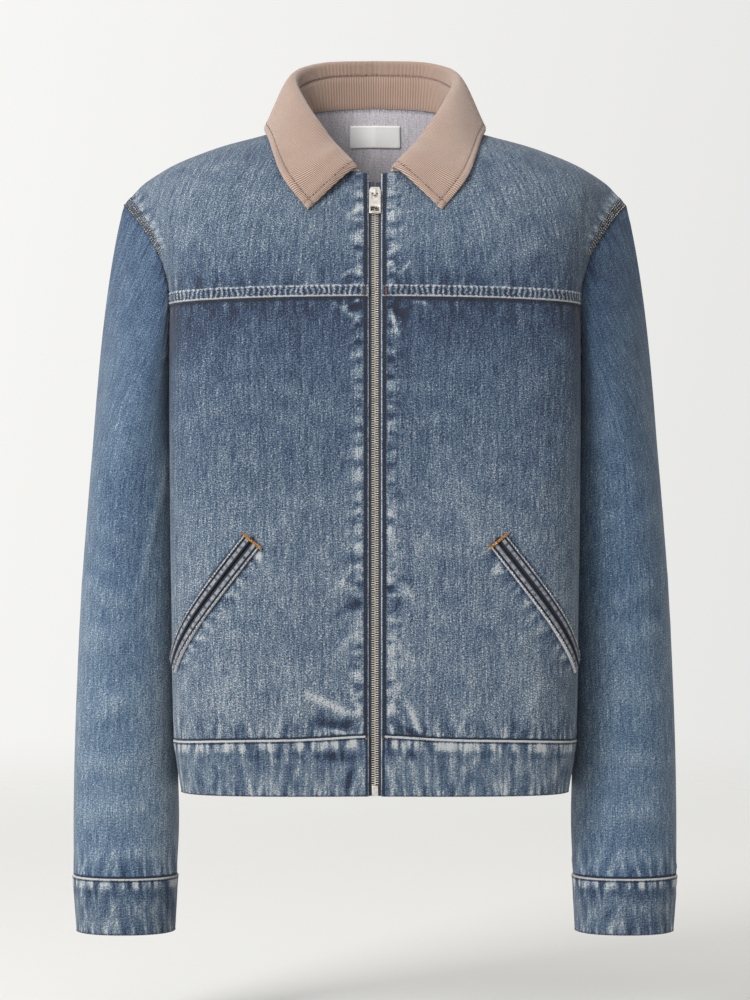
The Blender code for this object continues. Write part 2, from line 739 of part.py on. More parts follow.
def neck_label(back_upper, cotton):
    """The bare label on the inside of the back, below the neck seam."""
    columns = back_upper.transpose(1, 0, 2)[:8]
    grid = []
    for z in np.linspace(LABEL_TOP_Z - LABEL_HEIGHT, LABEL_TOP_Z, 5):
        half = [on_grid(columns, x, z) for x in np.linspace(0, LABEL_WIDTH / 2, 5)]
        grid.append([*reversed(half[1:]), *half])
        for point in range(4):
            grid[-1][point] = grid[-1][point] * np.array([-1.0, 1.0, 1.0])
    grid = np.array(grid)
    inward = grid_normals(grid)
    back = grid + inward * (DENIM + LAID_GAP)
    add_object("neck_label", wall_mesh("neck_label", back + inward * LABEL, back), cotton)


# ---------------------------------------------------------------- zip


class ZipLine:
    """The fronts' face at the zip, as points over its height with their outward directions."""

    def __init__(self, bands):
        self.edge = np.concatenate([band[:, 0] for band in bands])
        self.beside = np.concatenate([band[:, 1] for band in bands])
        order = np.argsort(self.edge[:, 2])
        self.edge, self.beside = self.edge[order], self.beside[order]

    def point(self, x, z):
        """A point of the face beside the zip, carried on across the gap."""
        t = (x - FRONT_EDGE_X) / (self.beside[:, 0] - FRONT_EDGE_X)
        line = self.edge + (self.beside - self.edge) * t[:, None]
        return np.array([np.interp(z, line[:, 2], line[:, k]) for k in range(3)])

    def outward(self, z, step=0.003):
        """Direction out of the face at a height, and direction up along it."""
        up = unit(self.point(0.0, z + step) - self.point(0.0, z - step)) * np.array([0, 1, 1])
        up = unit(up)
        return np.array([0.0, -up[2], up[1]]), up

    def strip(self, x_low, x_high, z_low, z_high, depth, thickness, rows=20):
        """Face and back grids of a strip at a depth behind the face."""
        face, back = [], []
        for z in np.linspace(z_low, z_high, rows):
            out, _ = self.outward(z)
            line = np.array([self.point(x, z) for x in (x_low, x_high)])
            line[:, 1:] = self.point(FRONT_EDGE_X, z)[1:] if x_low < 0 else line[:, 1:]
            face.append(line - out * depth)
            back.append(line - out * (depth + thickness))
        return np.array(face), np.array(back)


def zip_pieces(line, tape_cloth, metal):
    face, back = line.strip(TAPE_INNER_X, TAPE_OUTER_X, ZIP_END_Z, ZIP_TOP_Z, TAPE_DEPTH, TAPE)
    add_object("zip_tape_right", wall_mesh("zip_tape_right", face, back), tape_cloth)
    face, back = mirrored(face)[:, ::-1], mirrored(back)[:, ::-1]
    add_object("zip_tape_left", wall_mesh("zip_tape_left", face, back), tape_cloth)

    box_top = ZIP_END_Z + ZIP_BOX_LENGTH
    half = CHAIN_HALF_WIDTH
    face, back = line.strip(-half, half, box_top + SEAM_GAP, SLIDER_Z, CHAIN_DEPTH, CHAIN)
    add_object("zip_chain", wall_mesh("zip_chain", face, back), metal)
    half = ZIP_BOX_WIDTH / 2
    depth = CHAIN_DEPTH + CHAIN / 2 - ZIP_BOX / 2
    face, back = line.strip(-half, half, ZIP_END_Z, box_top, depth, ZIP_BOX, rows=2)
    add_object("zip_box", wall_mesh("zip_box", face, back), metal)


def block(name, outline_points, low, high):
    """A prism: an outline in x and z, between two depths in y, seen from -Y."""
    count = len(outline_points)
    points = [(x, y, z) for y in (low, high) for x, z in outline_points]
    faces = [tuple(range(count)), tuple(reversed(range(count, 2 * count)))]
    for i in range(count):
        j = (i + 1) % count
        faces.append((i, i + count, j + count, j))
    mesh = bpy.data.meshes.new(name)
    mesh.from_pydata(points, [], faces)
    return mesh


def box_outline(half_width, low, high):
    return [(-half_width, low), (half_width, low), (half_width, high), (-half_width, high)]


def joined(name, parts, material, placing):
    """One solid from overlapping blocks, by Boolean unions."""
    main = add_object(name, parts[0], material)
    main.matrix_world = placing
    for number, mesh in enumerate(parts[1:], 1):
        other = bpy.data.objects.new(f"{name}_part_{number}", mesh)
        bpy.context.scene.collection.objects.link(other)
        other.matrix_world = placing
        other.hide_render = True
        other.display_type = "WIRE"
        union = main.modifiers.new(f"join_{number}", "BOOLEAN")
        union.operation = "UNION"
        union.object = other
    return main


def zip_slider(placing, metal):
    """Two plates round the chain, a post between them, and the bridge that holds the pull tab.

    In its own frame the fronts' face is at y = 0, -Y is outward and the chain runs along Z."""
    end = SLIDER_LENGTH / 2
    shoulder = end - SLIDER_CORNER
    foot, wide = SLIDER_FOOT_WIDTH / 2, SLIDER_WIDTH / 2
    plate = [(-foot, -end), (foot, -end), (wide, 0.0), (wide, shoulder), (foot, end), (-foot, end)]
    plate += [(-wide, shoulder), (-wide, 0.0)]
    front_in = CHAIN_DEPTH - SLIDER_GAP
    front_out = front_in - SLIDER_PLATE
    back_in = CHAIN_DEPTH + CHAIN + SLIDER_GAP
    bar_in = front_out - 2 * (PIN_RADIUS + PIN_GAP)
    leg = box_outline(BRIDGE_WIDTH / 2, BRIDGE_REACH - BRIDGE_BAR, BRIDGE_REACH)
    foot_leg = box_outline(BRIDGE_WIDTH / 2, -BRIDGE_REACH, -BRIDGE_REACH + BRIDGE_BAR)
    bar = box_outline(BRIDGE_WIDTH / 2, -BRIDGE_REACH, BRIDGE_REACH)
    post = box_outline(POST_WIDTH / 2, POST_LOW, end - POST_BELOW_END)
    parts = [
        block("plate_front", plate, front_out, front_in),
        block("post", post, front_in - BLOCK_OVERLAP, back_in + BLOCK_OVERLAP),
        block("plate_back", plate, back_in, back_in + SLIDER_PLATE),
        block("leg_upper", leg, bar_in - BLOCK_OVERLAP, front_out + BLOCK_OVERLAP),
        block("leg_lower", foot_leg, bar_in - BLOCK_OVERLAP, front_out + BLOCK_OVERLAP),
        block("bridge", bar, bar_in - BRIDGE_BAR, bar_in),
    ]
    joined("zip_slider", parts, metal, placing)
    return front_out - PIN_RADIUS - PIN_GAP


def zip_pull(placing, pin_depth, metal):
    """The tab: a pin under the bridge, two arms beside it, and a plate with a window.

    Its origin is on the pin's axis."""
    half = PULL_WIDTH / 2
    columns = (-half, -half + PULL_RIM, -half + PULL_ARM, half - PULL_ARM, half - PULL_RIM, half)
    cap = [PIN_RADIUS * math.sin(a) for a in np.radians(PULL_TOP_TURNS)]
    heights = [*cap, -PIN_RADIUS, -PULL_HOLE_LENGTH, -PULL_WINDOW_HIGH, -PULL_WINDOW_LOW, -PULL_LENGTH]

    def depth(z):
        return PIN_RADIUS if z <= 0 else math.sqrt(PIN_RADIUS**2 - z**2)

    def filled(column, row):
        high, low = heights[row], heights[row + 1]
        in_hole = column == 2 and high <= -PIN_RADIUS and low >= -PULL_HOLE_LENGTH
        in_window = column in (1, 2, 3) and high <= -PULL_WINDOW_HIGH and low >= -PULL_WINDOW_LOW
        return not (in_hole or in_window)

    points, faces = [], []
    number = {}
    for side in (-1, 1):
        for row, z in enumerate(heights):
            for column, x in enumerate(columns):
                number[side, row, column] = len(points)
                points.append((x, side * depth(z), z))
    spans, bands = len(columns) - 1, len(heights) - 1
    cells = {(r, c) for r in range(bands) for c in range(spans) if filled(c, r)}
    for r, c in sorted(cells):
        quad = [(r + 1, c), (r + 1, c + 1), (r, c + 1), (r, c)]
        faces.append([number[-1, *corner] for corner in quad])
        faces.append([number[1, *corner] for corner in reversed(quad)])
        sides = (((r + 1, c), quad[0], quad[1]), ((r, c + 1), quad[1], quad[2]))
        sides += (((r - 1, c), quad[2], quad[3]), ((r, c - 1), quad[3], quad[0]))
        for neighbour, first, second in sides:
            if neighbour not in cells:
                near = (number[-1, *second], number[-1, *first])
                faces.append([*near, number[1, *first], number[1, *second]])
    used = sorted({i for face in faces for i in face})
    renumbered = {old: new for new, old in enumerate(used)}
    mesh = bpy.data.meshes.new("zip_pull")
    mesh.from_pydata([points[i] for i in used], [], [[renumbered[i] for i in f] for f in faces])
    pull = add_object("zip_pull", mesh, metal)
    pull.matrix_world = placing @ Matrix.Translation((0.0, pin_depth, 0.0))


# ---------------------------------------------------------------- materials


def finish(name, colour, roughness, metallic=0.0):
    material = bpy.data.materials.new(name)
    material.use_nodes = True
    shader = material.node_tree.nodes["Principled BSDF"]
    shader.inputs["Base Color"].default_value = (*colour, 1.0)
    shader.inputs["Roughness"].default_value = roughness
    shader.inputs["Metallic"].default_value = metallic
    return material


# ---------------------------------------------------------------- the jacket


def build():
    for obj in list(bpy.data.objects):
        bpy.data.objects.remove(obj, do_unlink=True)
    denim = finish("denim", (0.105, 0.175, 0.275), 0.85)
    corduroy = finish("corduroy", (0.420, 0.300, 0.240), 0.90)
    cotton = finish("label_cotton", (0.800, 0.800, 0.780), 0.85)
    tape_cloth = finish("zip_tape", (0.035, 0.050, 0.100), 0.80)
    metal = finish("zip_metal", (0.700, 0.670, 0.600), 0.30, metallic=1.0)

    front_lower = lower_grid(front_line, FRONT_COLUMNS)
    front_upper = upper_grid(front_line, FRONT_COLUMNS, True)
    back_lower = lower_grid(back_line, BACK_COLUMNS)
    back_upper = upper_grid(back_line, BACK_COLUMNS, False)
    ring, front_count = armhole_ring(front_lower, front_upper, back_lower, back_upper)
    turn = sleeve_turns(ring, front_count)
    band = waistband(denim)
    body = front_pieces(front_lower, front_upper, denim)
    body += [back_piece(back_lower, back_upper, denim), band]
    sleeves = both_sleeves("sleeve", sleeve_grid(ring, turn), denim)
    cuffs = both_sleeves("cuff", cuff_grid(turn), denim, BAND_RISE)
    mitre([(body, body)])
    mitre([(body, sleeves), (sleeves, body + cuffs), (cuffs, sleeves)])
    built = {cloth.name: cloth.build() for cloth in body + sleeves + cuffs}

    drape = draper([built["front_yoke_left"], built["front_yoke_right"], built["back"]])
    stand, fall = collar_halves(drape)
    collar_piece("collar_stand", stand, corduroy, ((-1, -1),))
    collar_piece("collar_fall", fall, corduroy, ((0, 1),))
    pocket_welts(denim)
    neck_label(back_upper, cotton)

    line = ZipLine([band.grid[:-1], front_lower, front_upper[1:]])
    zip_pieces(line, tape_cloth, metal)
    out, up = line.outward(SLIDER_Z)
    place = line.point(0.0, SLIDER_Z)
    across = Vector((1.0, 0.0, 0.0))
    axes = Matrix((across, -Vector(out), Vector(up))).transposed()
    placing = Matrix.Translation((0.0, place[1], place[2])) @ axes.to_4x4()
    pin_depth = zip_slider(placing, metal)
    zip_pull(placing, pin_depth, metal)


build()
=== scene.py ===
"""How the denim jacket looks: its cloth, seams, collar, zip and light, in metres.

+Z is up and the front faces -Y. Left and right are as seen from in front: left is -X.
Each cloth is a thin shell made from rows of points. A row runs round the garment.
"""

import math
from collections import namedtuple

import bpy
import numpy as np
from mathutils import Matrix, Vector
from mathutils.bvhtree import BVHTree


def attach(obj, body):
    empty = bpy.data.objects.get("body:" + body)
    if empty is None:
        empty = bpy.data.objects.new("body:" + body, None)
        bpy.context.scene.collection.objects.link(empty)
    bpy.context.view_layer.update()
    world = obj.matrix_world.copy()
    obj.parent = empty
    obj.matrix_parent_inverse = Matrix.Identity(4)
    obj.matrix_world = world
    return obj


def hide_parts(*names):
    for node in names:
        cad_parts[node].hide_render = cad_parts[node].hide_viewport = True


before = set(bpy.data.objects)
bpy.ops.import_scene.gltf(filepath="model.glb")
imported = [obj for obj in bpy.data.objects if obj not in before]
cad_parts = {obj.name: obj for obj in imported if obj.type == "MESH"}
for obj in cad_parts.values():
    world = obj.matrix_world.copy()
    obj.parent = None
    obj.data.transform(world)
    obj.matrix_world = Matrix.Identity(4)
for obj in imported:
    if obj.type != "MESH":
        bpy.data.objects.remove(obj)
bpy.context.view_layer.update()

JACKET = "jacket"
PULL_TAB = "pull_tab"

# Cloth and seams
DENIM = 0.0016  # wall of one layer of denim with its pressed seams
BAND_RISE = 0.0010  # how far the second layer of waistband and cuffs stands out
CORDUROY = 0.0026  # collar, two layers
SLEEVE_GAP = 0.0005  # how far the sleeve's edge stands off the body's
ARMHOLE_LAP = 0.0030  # how far the sleeve laps the back, below the shoulder seam
ARMHOLE_LAP_GROWTH = 0.030  # how far above the yoke line the lap starts
UNDERARM_FADE = 0.006  # how far above the underarm it ends
FELLED_WIDTH = 0.0096  # a felled seam's raised strip
FELLED_RISE = 0.0008
EDGE_ROUNDING = 0.45  # share of the wall that a cut edge loses
LAID_GAP = 0.0006  # clearance of what lies on a panel

# Heights
HEM_Z = -0.586
BAND_Z = -0.5370
UNDERARM_Z = -0.300
YOKE_Z = -0.1600
SHOULDER_SEAM_END = -0.122  # where the felled seam over the shoulder runs out
SLEEVE_RING_Z = -0.335
CUFF_Z = -0.662
CUFF_END_Z = -0.711

# The body's outline at a height: superellipses in front and behind, pressed in beside the sleeve
FRONT_SQUARENESS = 4.2
BACK_SQUARENESS = 3.0
PRESS_Y = 0.004
PRESS_WIDTH = 0.040
FRONT_EDGE_X = 0.0052  # half the gap between the two fronts, where the zip shows
ARMHOLE_FRONT_Y = -0.050
ARMHOLE_BACK_Y = 0.054

Section = namedtuple("Section", "z half_width front back press")
BODY = (
    Section(-0.590, 0.1690, 0.1080, 0.0990, 0.006),
    Section(-0.560, 0.1740, 0.1105, 0.1025, 0.010),
    Section(-0.535, 0.1775, 0.1150, 0.1060, 0.014),
    Section(-0.500, 0.1790, 0.1185, 0.1090, 0.018),
    Section(-0.440, 0.1800, 0.1190, 0.1085, 0.022),
    Section(-0.360, 0.1815, 0.1185, 0.1090, 0.024),
    Section(-0.300, 0.1820, 0.1180, 0.1120, 0.024),
    Section(-0.230, 0.1820, 0.1160, 0.1140, 0.017),
    Section(-0.158, 0.1815, 0.1085, 0.1120, 0.011),
)

# How the seams hang: the yoke line falls to the sides, the waistband's seam rises to the zip
YOKE_SAG = 0.0040
YOKE_SAG_REACH = 0.060  # how far above and below the seam the cloth follows it
BAND_LIFT = 0.0035
BAND_LIFT_WIDTH = 0.26  # share of the half width
BAND_SAG = 0.0040
BAND_SAG_REACH = 0.030
SAG_HALF_WIDTH = 0.175

# The neck seam, by the angle round the neck from centre front (0) to centre back (180)
NECK_HALF_WIDTH = 0.077
NECK_FRONT = 0.064
NECK_BACK = 0.062
NeckRise = namedtuple("NeckRise", "angle z")
NECK = (
    NeckRise(0, -0.0520),
    NeckRise(30, -0.0440),
    NeckRise(60, -0.0230),
    NeckRise(90, -0.0050),
    NeckRise(120, 0.0090),
    NeckRise(150, 0.0165),
    NeckRise(180, 0.0190),
)

# The shoulder seam, from the neck to the shoulder tip
SeamPoint = namedtuple("SeamPoint", "x y z")
SHOULDER = (
    SeamPoint(0.077, 0.0000, -0.0050),
    SeamPoint(0.100, 0.0010, -0.0115),
    SeamPoint(0.149, 0.0030, -0.0260),
    SeamPoint(0.185, 0.0040, -0.0417),
    SeamPoint(0.208, 0.0040, -0.0570),
    SeamPoint(0.222, 0.0030, -0.0730),
)

# How the cloth arrives at its top edge: share of the way along the edge, and direction there
Arrival = namedtuple("Arrival", "share x y z")
FRONT_ARRIVAL = (
    Arrival(0.00, 0.00, 0.45, 0.89),
    Arrival(0.38, 0.00, 0.90, 0.40),
    Arrival(0.60, 0.00, 1.00, 0.12),
    Arrival(0.82, 0.00, 1.00, 0.08),
    Arrival(1.00, 0.45, 0.77, 0.45),
)
BACK_ARRIVAL = (
    Arrival(0.00, 0.00, -0.30, 0.95),
    Arrival(0.38, 0.00, -0.95, 0.25),
    Arrival(0.60, 0.00, -1.00, 0.10),
    Arrival(0.82, 0.00, -1.00, 0.08),
    Arrival(1.00, 0.45, -0.77, 0.45),
)
# Where shares of the yoke line lead: centre, neck point, chest fold and armhole
YOKE_SHARES = (0.0, 0.36, 0.87, 1.0)
TOP_SHARES = (0.0, 0.40, 0.82, 1.0)
LEAVING_PULL = 1.05  # how strongly the cloth keeps its direction at the yoke line and the top
ARRIVING_PULL = 1.15

# The sleeve's rings below the underarm, from the cuff's end up
Ring = namedtuple("Ring", "z outer inner centre_y half_depth")
SLEEVE = (
    Ring(-0.711, 0.2610, 0.1765, -0.0125, 0.0410),
    Ring(-0.662, 0.2645, 0.1740, -0.0105, 0.0428),
    Ring(-0.620, 0.2650, 0.1725, -0.0080, 0.0440),
    Ring(-0.560, 0.2645, 0.1735, -0.0040, 0.0465),
    Ring(-0.480, 0.2620, 0.1700, 0.0000, 0.0510),
    Ring(-0.400, 0.2580, 0.1680, 0.0030, 0.0560),
    Ring(-0.335, 0.2530, 0.1675, 0.0040, 0.0600),
)
SLEEVE_ROUNDNESS = 2.2
# How the sleeve leaves the armhole: outward, away from the middle of its depth, and down
LEAVE_OUT = 0.19
LEAVE_APART = 0.32
LEAVE_DOWN = 0.92

# The collar: where it rolls over, and where its outer edge lies, from the front end to centre back
CollarLine = namedtuple("CollarLine", "share roll_x roll_y roll_z edge_x edge_y edge_z")
COLLAR = (
    CollarLine(0.0, 0.0125, -0.0640, -0.0455, 0.0572, -0.0900, -0.0840),
    CollarLine(0.2, 0.0370, -0.0370, -0.0225, 0.0800, -0.0730, -0.0530),
    CollarLine(0.4, 0.0590, -0.0020, 0.0165, 0.0930, -0.0310, -0.0190),
    CollarLine(0.6, 0.0670, 0.0310, 0.0455, 0.0975, 0.0120, -0.0030),
    CollarLine(0.8, 0.0450, 0.0570, 0.0600, 0.0720, 0.0620, 0.0030),
    CollarLine(1.0, 0.0000, 0.0670, 0.0635, 0.0000, 0.0810, 0.0060),
)
COLLAR_FRONT_ANGLE = 10.0  # degrees round the neck, where the collar's end is sewn on
COLLAR_LIFT = 0.0008  # clearance above the neck seam
ROLL_RADIUS = 0.0042
ROLL_TURN = math.radians(130)
FALL_PULL = 0.55  # how strongly the fall keeps the roll's direction
STAND_SEAM_BELOW_ROLL = 0.0110
STAND_FROM_SHARE = 0.14
DRAPE_CENTRE = (0.0, 0.0, -0.160)
DRAPE_CLEARANCE = CORDUROY + 0.0010
DRAPE_ABOVE = 0.080  # how far above a point the cloth below it is looked for
DRAPE_BELOW = 0.030
STEEPEST_SLOPE = 0.35

# Pockets: two welts with a slit between, slanting down to the side
POCKET_TOP_X = 0.1038
POCKET_TOP_Z = -0.3675
POCKET_SLANT = math.radians(51.5)
POCKET_LENGTH = 0.140
WELT_WIDTH = 0.0078
WELT_SLIT = 0.0012
WELT_RISE = 0.0016

# Zip, measured in depth from the fronts' face
ZIP_TOP_Z = -0.0585
ZIP_END_Z = -0.5855
TAPE_BEAD_X = 0.0004
TAPE_OUTER_X = 0.0150
TAPE_DEPTH = DENIM + 0.0004
TAPE = 0.0010
TAPE_ROWS, TAPE_COLUMNS = 150, 10
TOOTH_PITCH = 0.00098
SLIDER_Z = -0.0695
CHAIN = 0.0026
CHAIN_DEPTH = TAPE_DEPTH + TAPE / 2 - CHAIN / 2
ZIP_BOX_LENGTH = 0.0090

LABEL_WIDTH = 0.045
LABEL_HEIGHT = 0.019
LABEL_TOP_Z = 0.0045
LABEL = 0.0010

# How closely the cloth's points lie: close beside the seams, wider in the open cloth
EDGE_STEPS = np.array([0, 0.6, 1.2, 1.8, 2.6, 3.6, 4.8, 6.2, 7.8, 8.8, 9.6]) / 1000
STRIP_ROWS = np.append(EDGE_STEPS, FELLED_WIDTH + FELLED_RISE)
STRIP_STEPS = STRIP_ROWS[::-1]
FRONT_COLUMNS = np.concatenate([EDGE_STEPS, np.linspace(0.0112, 0.184, 92)])
BACK_COLUMNS = np.linspace(0, 0.173, 56)
COLUMNS_BEYOND = 36
UPPER_ROWS = 44


def heights_between(low, high, step, close_low=True, close_high=True):
    """Heights from one seam to another, closer together beside the seams."""
    ends = []
    if close_low:
        ends.append(low + EDGE_STEPS)
    if close_high:
        ends.append(high - EDGE_STEPS)
    start = low + (EDGE_STEPS[-1] + 0.002 if close_low else 0.0)
    stop = high - (EDGE_STEPS[-1] + 0.002 if close_high else 0.0)
    middle = np.linspace(start, stop, max(2, round((stop - start) / step)))
    return np.unique(np.concatenate([*ends, middle, [low, high]]).round(7))


SIDE_HEIGHTS = heights_between(BAND_Z, UNDERARM_Z, 0.0033, close_high=False)
ARMHOLE_HEIGHTS = heights_between(UNDERARM_Z, YOKE_Z, 0.0033, close_low=False)[1:]
LOWER_HEIGHTS = np.concatenate([SIDE_HEIGHTS, ARMHOLE_HEIGHTS])
UNDERARM_ROW = len(SIDE_HEIGHTS) - 1
CAP_ROWS = 46
SLEEVE_HEIGHTS = heights_between(CUFF_Z, SLEEVE_RING_Z, 0.0042, close_high=False)[::-1]


def along(rows, key, name, at):
    """Smooth value of one named column of a table, at a value of its key column."""
    keys = np.array([getattr(row, key) for row in rows], float)
    values = np.array([getattr(row, name) for row in rows], float)
    slopes = np.gradient(values, keys)
    at = np.clip(at, keys[0], keys[-1])
    i = np.clip(np.searchsorted(keys, at) - 1, 0, len(keys) - 2)
    width = keys[i + 1] - keys[i]
    t = (at - keys[i]) / width
    return hermite(values[i], slopes[i] * width, values[i + 1], slopes[i + 1] * width, t)


def hermite(start, leave, end, arrive, t):
    return (
        start * (2 * t**3 - 3 * t**2 + 1)
        + leave * (t**3 - 2 * t**2 + t)
        + end * (3 * t**2 - 2 * t**3)
        + arrive * (t**3 - t**2)
    )


def bell(t):
    return np.exp(-(t**2))


def rising(value, width):
    """From 0, where a value is zero or less, to 1, where it reaches a width."""
    return np.clip(value / width, 0, 1)


def lengths_along(points):
    steps = np.linalg.norm(np.diff(points, axis=0), axis=1)
    return np.concatenate([[0.0], np.cumsum(steps)])


def at_lengths(points, wanted):
    """The points at these distances along a dense line."""
    run = lengths_along(points)
    return np.stack([np.interp(wanted, run, points[:, k]) for k in range(3)], axis=1)


def unit(vectors):
    size = np.linalg.norm(vectors, axis=-1, keepdims=True)
    return vectors / np.maximum(size, 1e-12)


def mirrored(grid):
    return grid * np.array([-1.0, 1.0, 1.0])


def handed(grid, right):
    """A right half grid, or its mirror image with its columns still in order round the body."""
    return grid if right else mirrored(grid)[:, ::-1]


def side_of(right):
    return "right" if right else "left"


def placed(name, data):
    """A new object at the origin."""
    obj = bpy.data.objects.new(name, data)
    bpy.context.scene.collection.objects.link(obj)
    return obj


def fitted(obj, body, node):
    """Puts a piece on its body, in place of its plain solid."""
    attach(obj, body)
    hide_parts(node)


def outline(z, depth_name, squareness):
    """Right half of the body's front or back outline, from the centre line to the side."""
    facing = -1.0 if depth_name == "front" else 1.0
    width = along(BODY, "z", "half_width", z)
    depth = along(BODY, "z", depth_name, z)
    press = along(BODY, "z", "press", z)
    angle = np.linspace(math.pi / 2, 0, 240)
    across, out = np.cos(angle), np.sin(angle)
    reach = (across**squareness + out**squareness) ** (-1 / squareness)
    y = facing * depth * reach * out
    x = width * reach * across - press * bell((y - PRESS_Y) / PRESS_WIDTH)
    return np.stack([np.maximum(x, 0.0), y, np.full_like(x, z)], axis=1)


def armhole_y(z, widest):
    """Where the armhole cuts the outline: a quarter ellipse from the underarm up."""
    if z <= UNDERARM_Z:
        return 0.0
    rise = (min(z, YOKE_Z) - YOKE_Z) / (UNDERARM_Z - YOKE_Z)
    return widest * math.sqrt(max(0.0, 1 - rise**2))


def trimmed(points, start_x, stop_y):
    """The part of an outline between a start in x, near the centre, and a stop in y."""
    run = lengths_along(points)
    near_centre = points[:60, 0]
    begin = np.interp(start_x, near_centre, run[: len(near_centre)])
    end = np.interp(-abs(stop_y), -np.abs(points[:, 1]), run)
    return at_lengths(points, np.linspace(begin, end, 240))


def front_line(z):
    """Dense outline of one front at height z, from the zip edge to the side seam or armhole."""
    line = outline(z, "front", FRONT_SQUARENESS)
    return trimmed(line, FRONT_EDGE_X, armhole_y(z, ARMHOLE_FRONT_Y))


def back_line(z):
    return trimmed(outline(z, "back", BACK_SQUARENESS), 0.0, armhole_y(z, ARMHOLE_BACK_Y))


def row_of(line, columns, with_strip=False):
    """Points of a row. With a strip, the last columns edge the felled seam at the armhole."""
    total = lengths_along(line)[-1]
    beyond = np.linspace(columns[-1], total, COLUMNS_BEYOND + 1)[1:]
    if with_strip:
        plain = COLUMNS_BEYOND - len(STRIP_STEPS) + 2
        before = np.linspace(columns[-1], total - STRIP_STEPS[0], plain)[1:-1]
        beyond = np.concatenate([before, total - STRIP_STEPS])
    return at_lengths(line, np.concatenate([columns, beyond]))


def settled(grid):
    """The grid with the hang of its seams."""
    grid = grid.copy()
    across = np.abs(grid[..., 0]) / SAG_HALF_WIDTH
    z = grid[..., 2]
    yoke = -YOKE_SAG * across**2 * bell((z - YOKE_Z) / YOKE_SAG_REACH)
    lift = BAND_LIFT * bell(across / BAND_LIFT_WIDTH) * (grid[..., 1] < 0)
    band = (lift - BAND_SAG * across**4) * bell((z - BAND_Z) / BAND_SAG_REACH)
    grid[..., 2] += yoke + band
    return grid


def neck_point(angle):
    """A point of the neck seam, at an angle round the neck in degrees from centre front."""
    turn = math.radians(angle)
    depth = NECK_FRONT if angle <= 90 else NECK_BACK
    height = along(NECK, "angle", "z", angle)
    return np.array([NECK_HALF_WIDTH * math.sin(turn), -depth * math.cos(turn), height])


def shoulder_line():
    x = np.linspace(SHOULDER[0].x, SHOULDER[-1].x, 80)
    return np.stack([x, along(SHOULDER, "x", "y", x), along(SHOULDER, "x", "z", x)], axis=1)


def top_line(is_front):
    """Neckline and shoulder seam in one line, from the centre to the shoulder tip."""
    first = math.degrees(math.asin(FRONT_EDGE_X / NECK_HALF_WIDTH)) if is_front else 180.0
    neck = np.array([neck_point(a) for a in np.linspace(first, 90.0, 60)])
    return np.concatenate([neck, shoulder_line()[1:]])


def directions(rows, shares):
    shares_listed = [row.share for row in rows]
    parts = [np.interp(shares, shares_listed, [getattr(row, k) for row in rows]) for k in "xyz"]
    return unit(np.stack(parts, axis=1))


def upper_grid(line_at, columns, is_front):
    """Rows from the yoke line to the neckline and shoulder seam, each column a smooth curve."""
    low = row_of(line_at(YOKE_Z), columns, with_strip=True)
    below = row_of(line_at(YOKE_Z - 0.002), columns, with_strip=True)
    share = lengths_along(low) / lengths_along(low)[-1]
    top = top_line(is_front)
    top_length = lengths_along(top)[-1]
    reached = np.interp(share, YOKE_SHARES, TOP_SHARES) * top_length
    reached[-len(STRIP_STEPS) :] = top_length - STRIP_STEPS
    high = at_lengths(top, reached)
    arrive = directions(FRONT_ARRIVAL if is_front else BACK_ARRIVAL, reached / top_length)
    chord = np.linalg.norm(high - low, axis=1, keepdims=True)
    leave = unit(low - below) * chord * LEAVING_PULL
    arrive = arrive * chord * ARRIVING_PULL
    dense = np.array([hermite(low, leave, high, arrive, t) for t in np.linspace(0, 1, 60)])
    grid = []
    for column in range(dense.shape[1]):
        line = dense[:, column]
        even = np.linspace(STRIP_ROWS[-1], lengths_along(line)[-1], UPPER_ROWS + 1)[1:]
        grid.append(at_lengths(line, np.concatenate([STRIP_ROWS, even])))
    return settled(np.array(grid).transpose(1, 0, 2))


def lower_grid(line_at, columns):
    return settled(np.array([row_of(line_at(z), columns) for z in LOWER_HEIGHTS]))


def grid_normals(grid, wrap=False):
    """Unit normals of a grid, on its face side."""
    rows = np.concatenate([2 * grid[:1] - grid[1:2], grid, 2 * grid[-1:] - grid[-2:-1]])
    if wrap:
        columns = np.concatenate([grid[:, -1:], grid, grid[:, :1]], axis=1)
    else:
        before = 2 * grid[:, :1] - grid[:, 1:2]
        after = 2 * grid[:, -1:] - grid[:, -2:-1]
        columns = np.concatenate([before, grid, after], axis=1)
    return unit(np.cross(columns[:, 2:] - columns[:, :-2], rows[2:] - rows[:-2]))


def armhole_ring(front_lower, front_upper, back_lower, back_upper):
    """The right armhole from the shoulder tip down the front, then up the back."""

    def edge(lower, upper, facing):
        low, high = lower[UNDERARM_ROW:], upper[1:]
        rim = np.concatenate([low[:, -1], high[:, -1]])
        out = np.concatenate([grid_normals(low)[:, -1], grid_normals(high)[:, -1]])
        return rim + out * SLEEVE_GAP * facing

    front = edge(front_lower, front_upper, 1.0)
    back = edge(back_lower, back_upper, -1.0)
    below_seam = rising(YOKE_Z + ARMHOLE_LAP_GROWTH - back[:, 2], ARMHOLE_LAP_GROWTH)
    above_underarm = rising(back[:, 2] - UNDERARM_Z, UNDERARM_FADE)
    back[:, 0] -= ARMHOLE_LAP * below_seam * above_underarm
    return np.concatenate([front[::-1], back[1:-1]]), len(front)


def sleeve_turns(ring, front_count):
    """Angles round the sleeve for the armhole's points: half a turn in front, half behind."""
    run = lengths_along(np.concatenate([ring, ring[:1]]))
    middle, total = run[front_count - 1], run[-1]
    before = math.pi * run / middle
    after = math.pi + math.pi * (run - middle) / (total - middle)
    return np.where(run <= middle, before, after)[:-1]


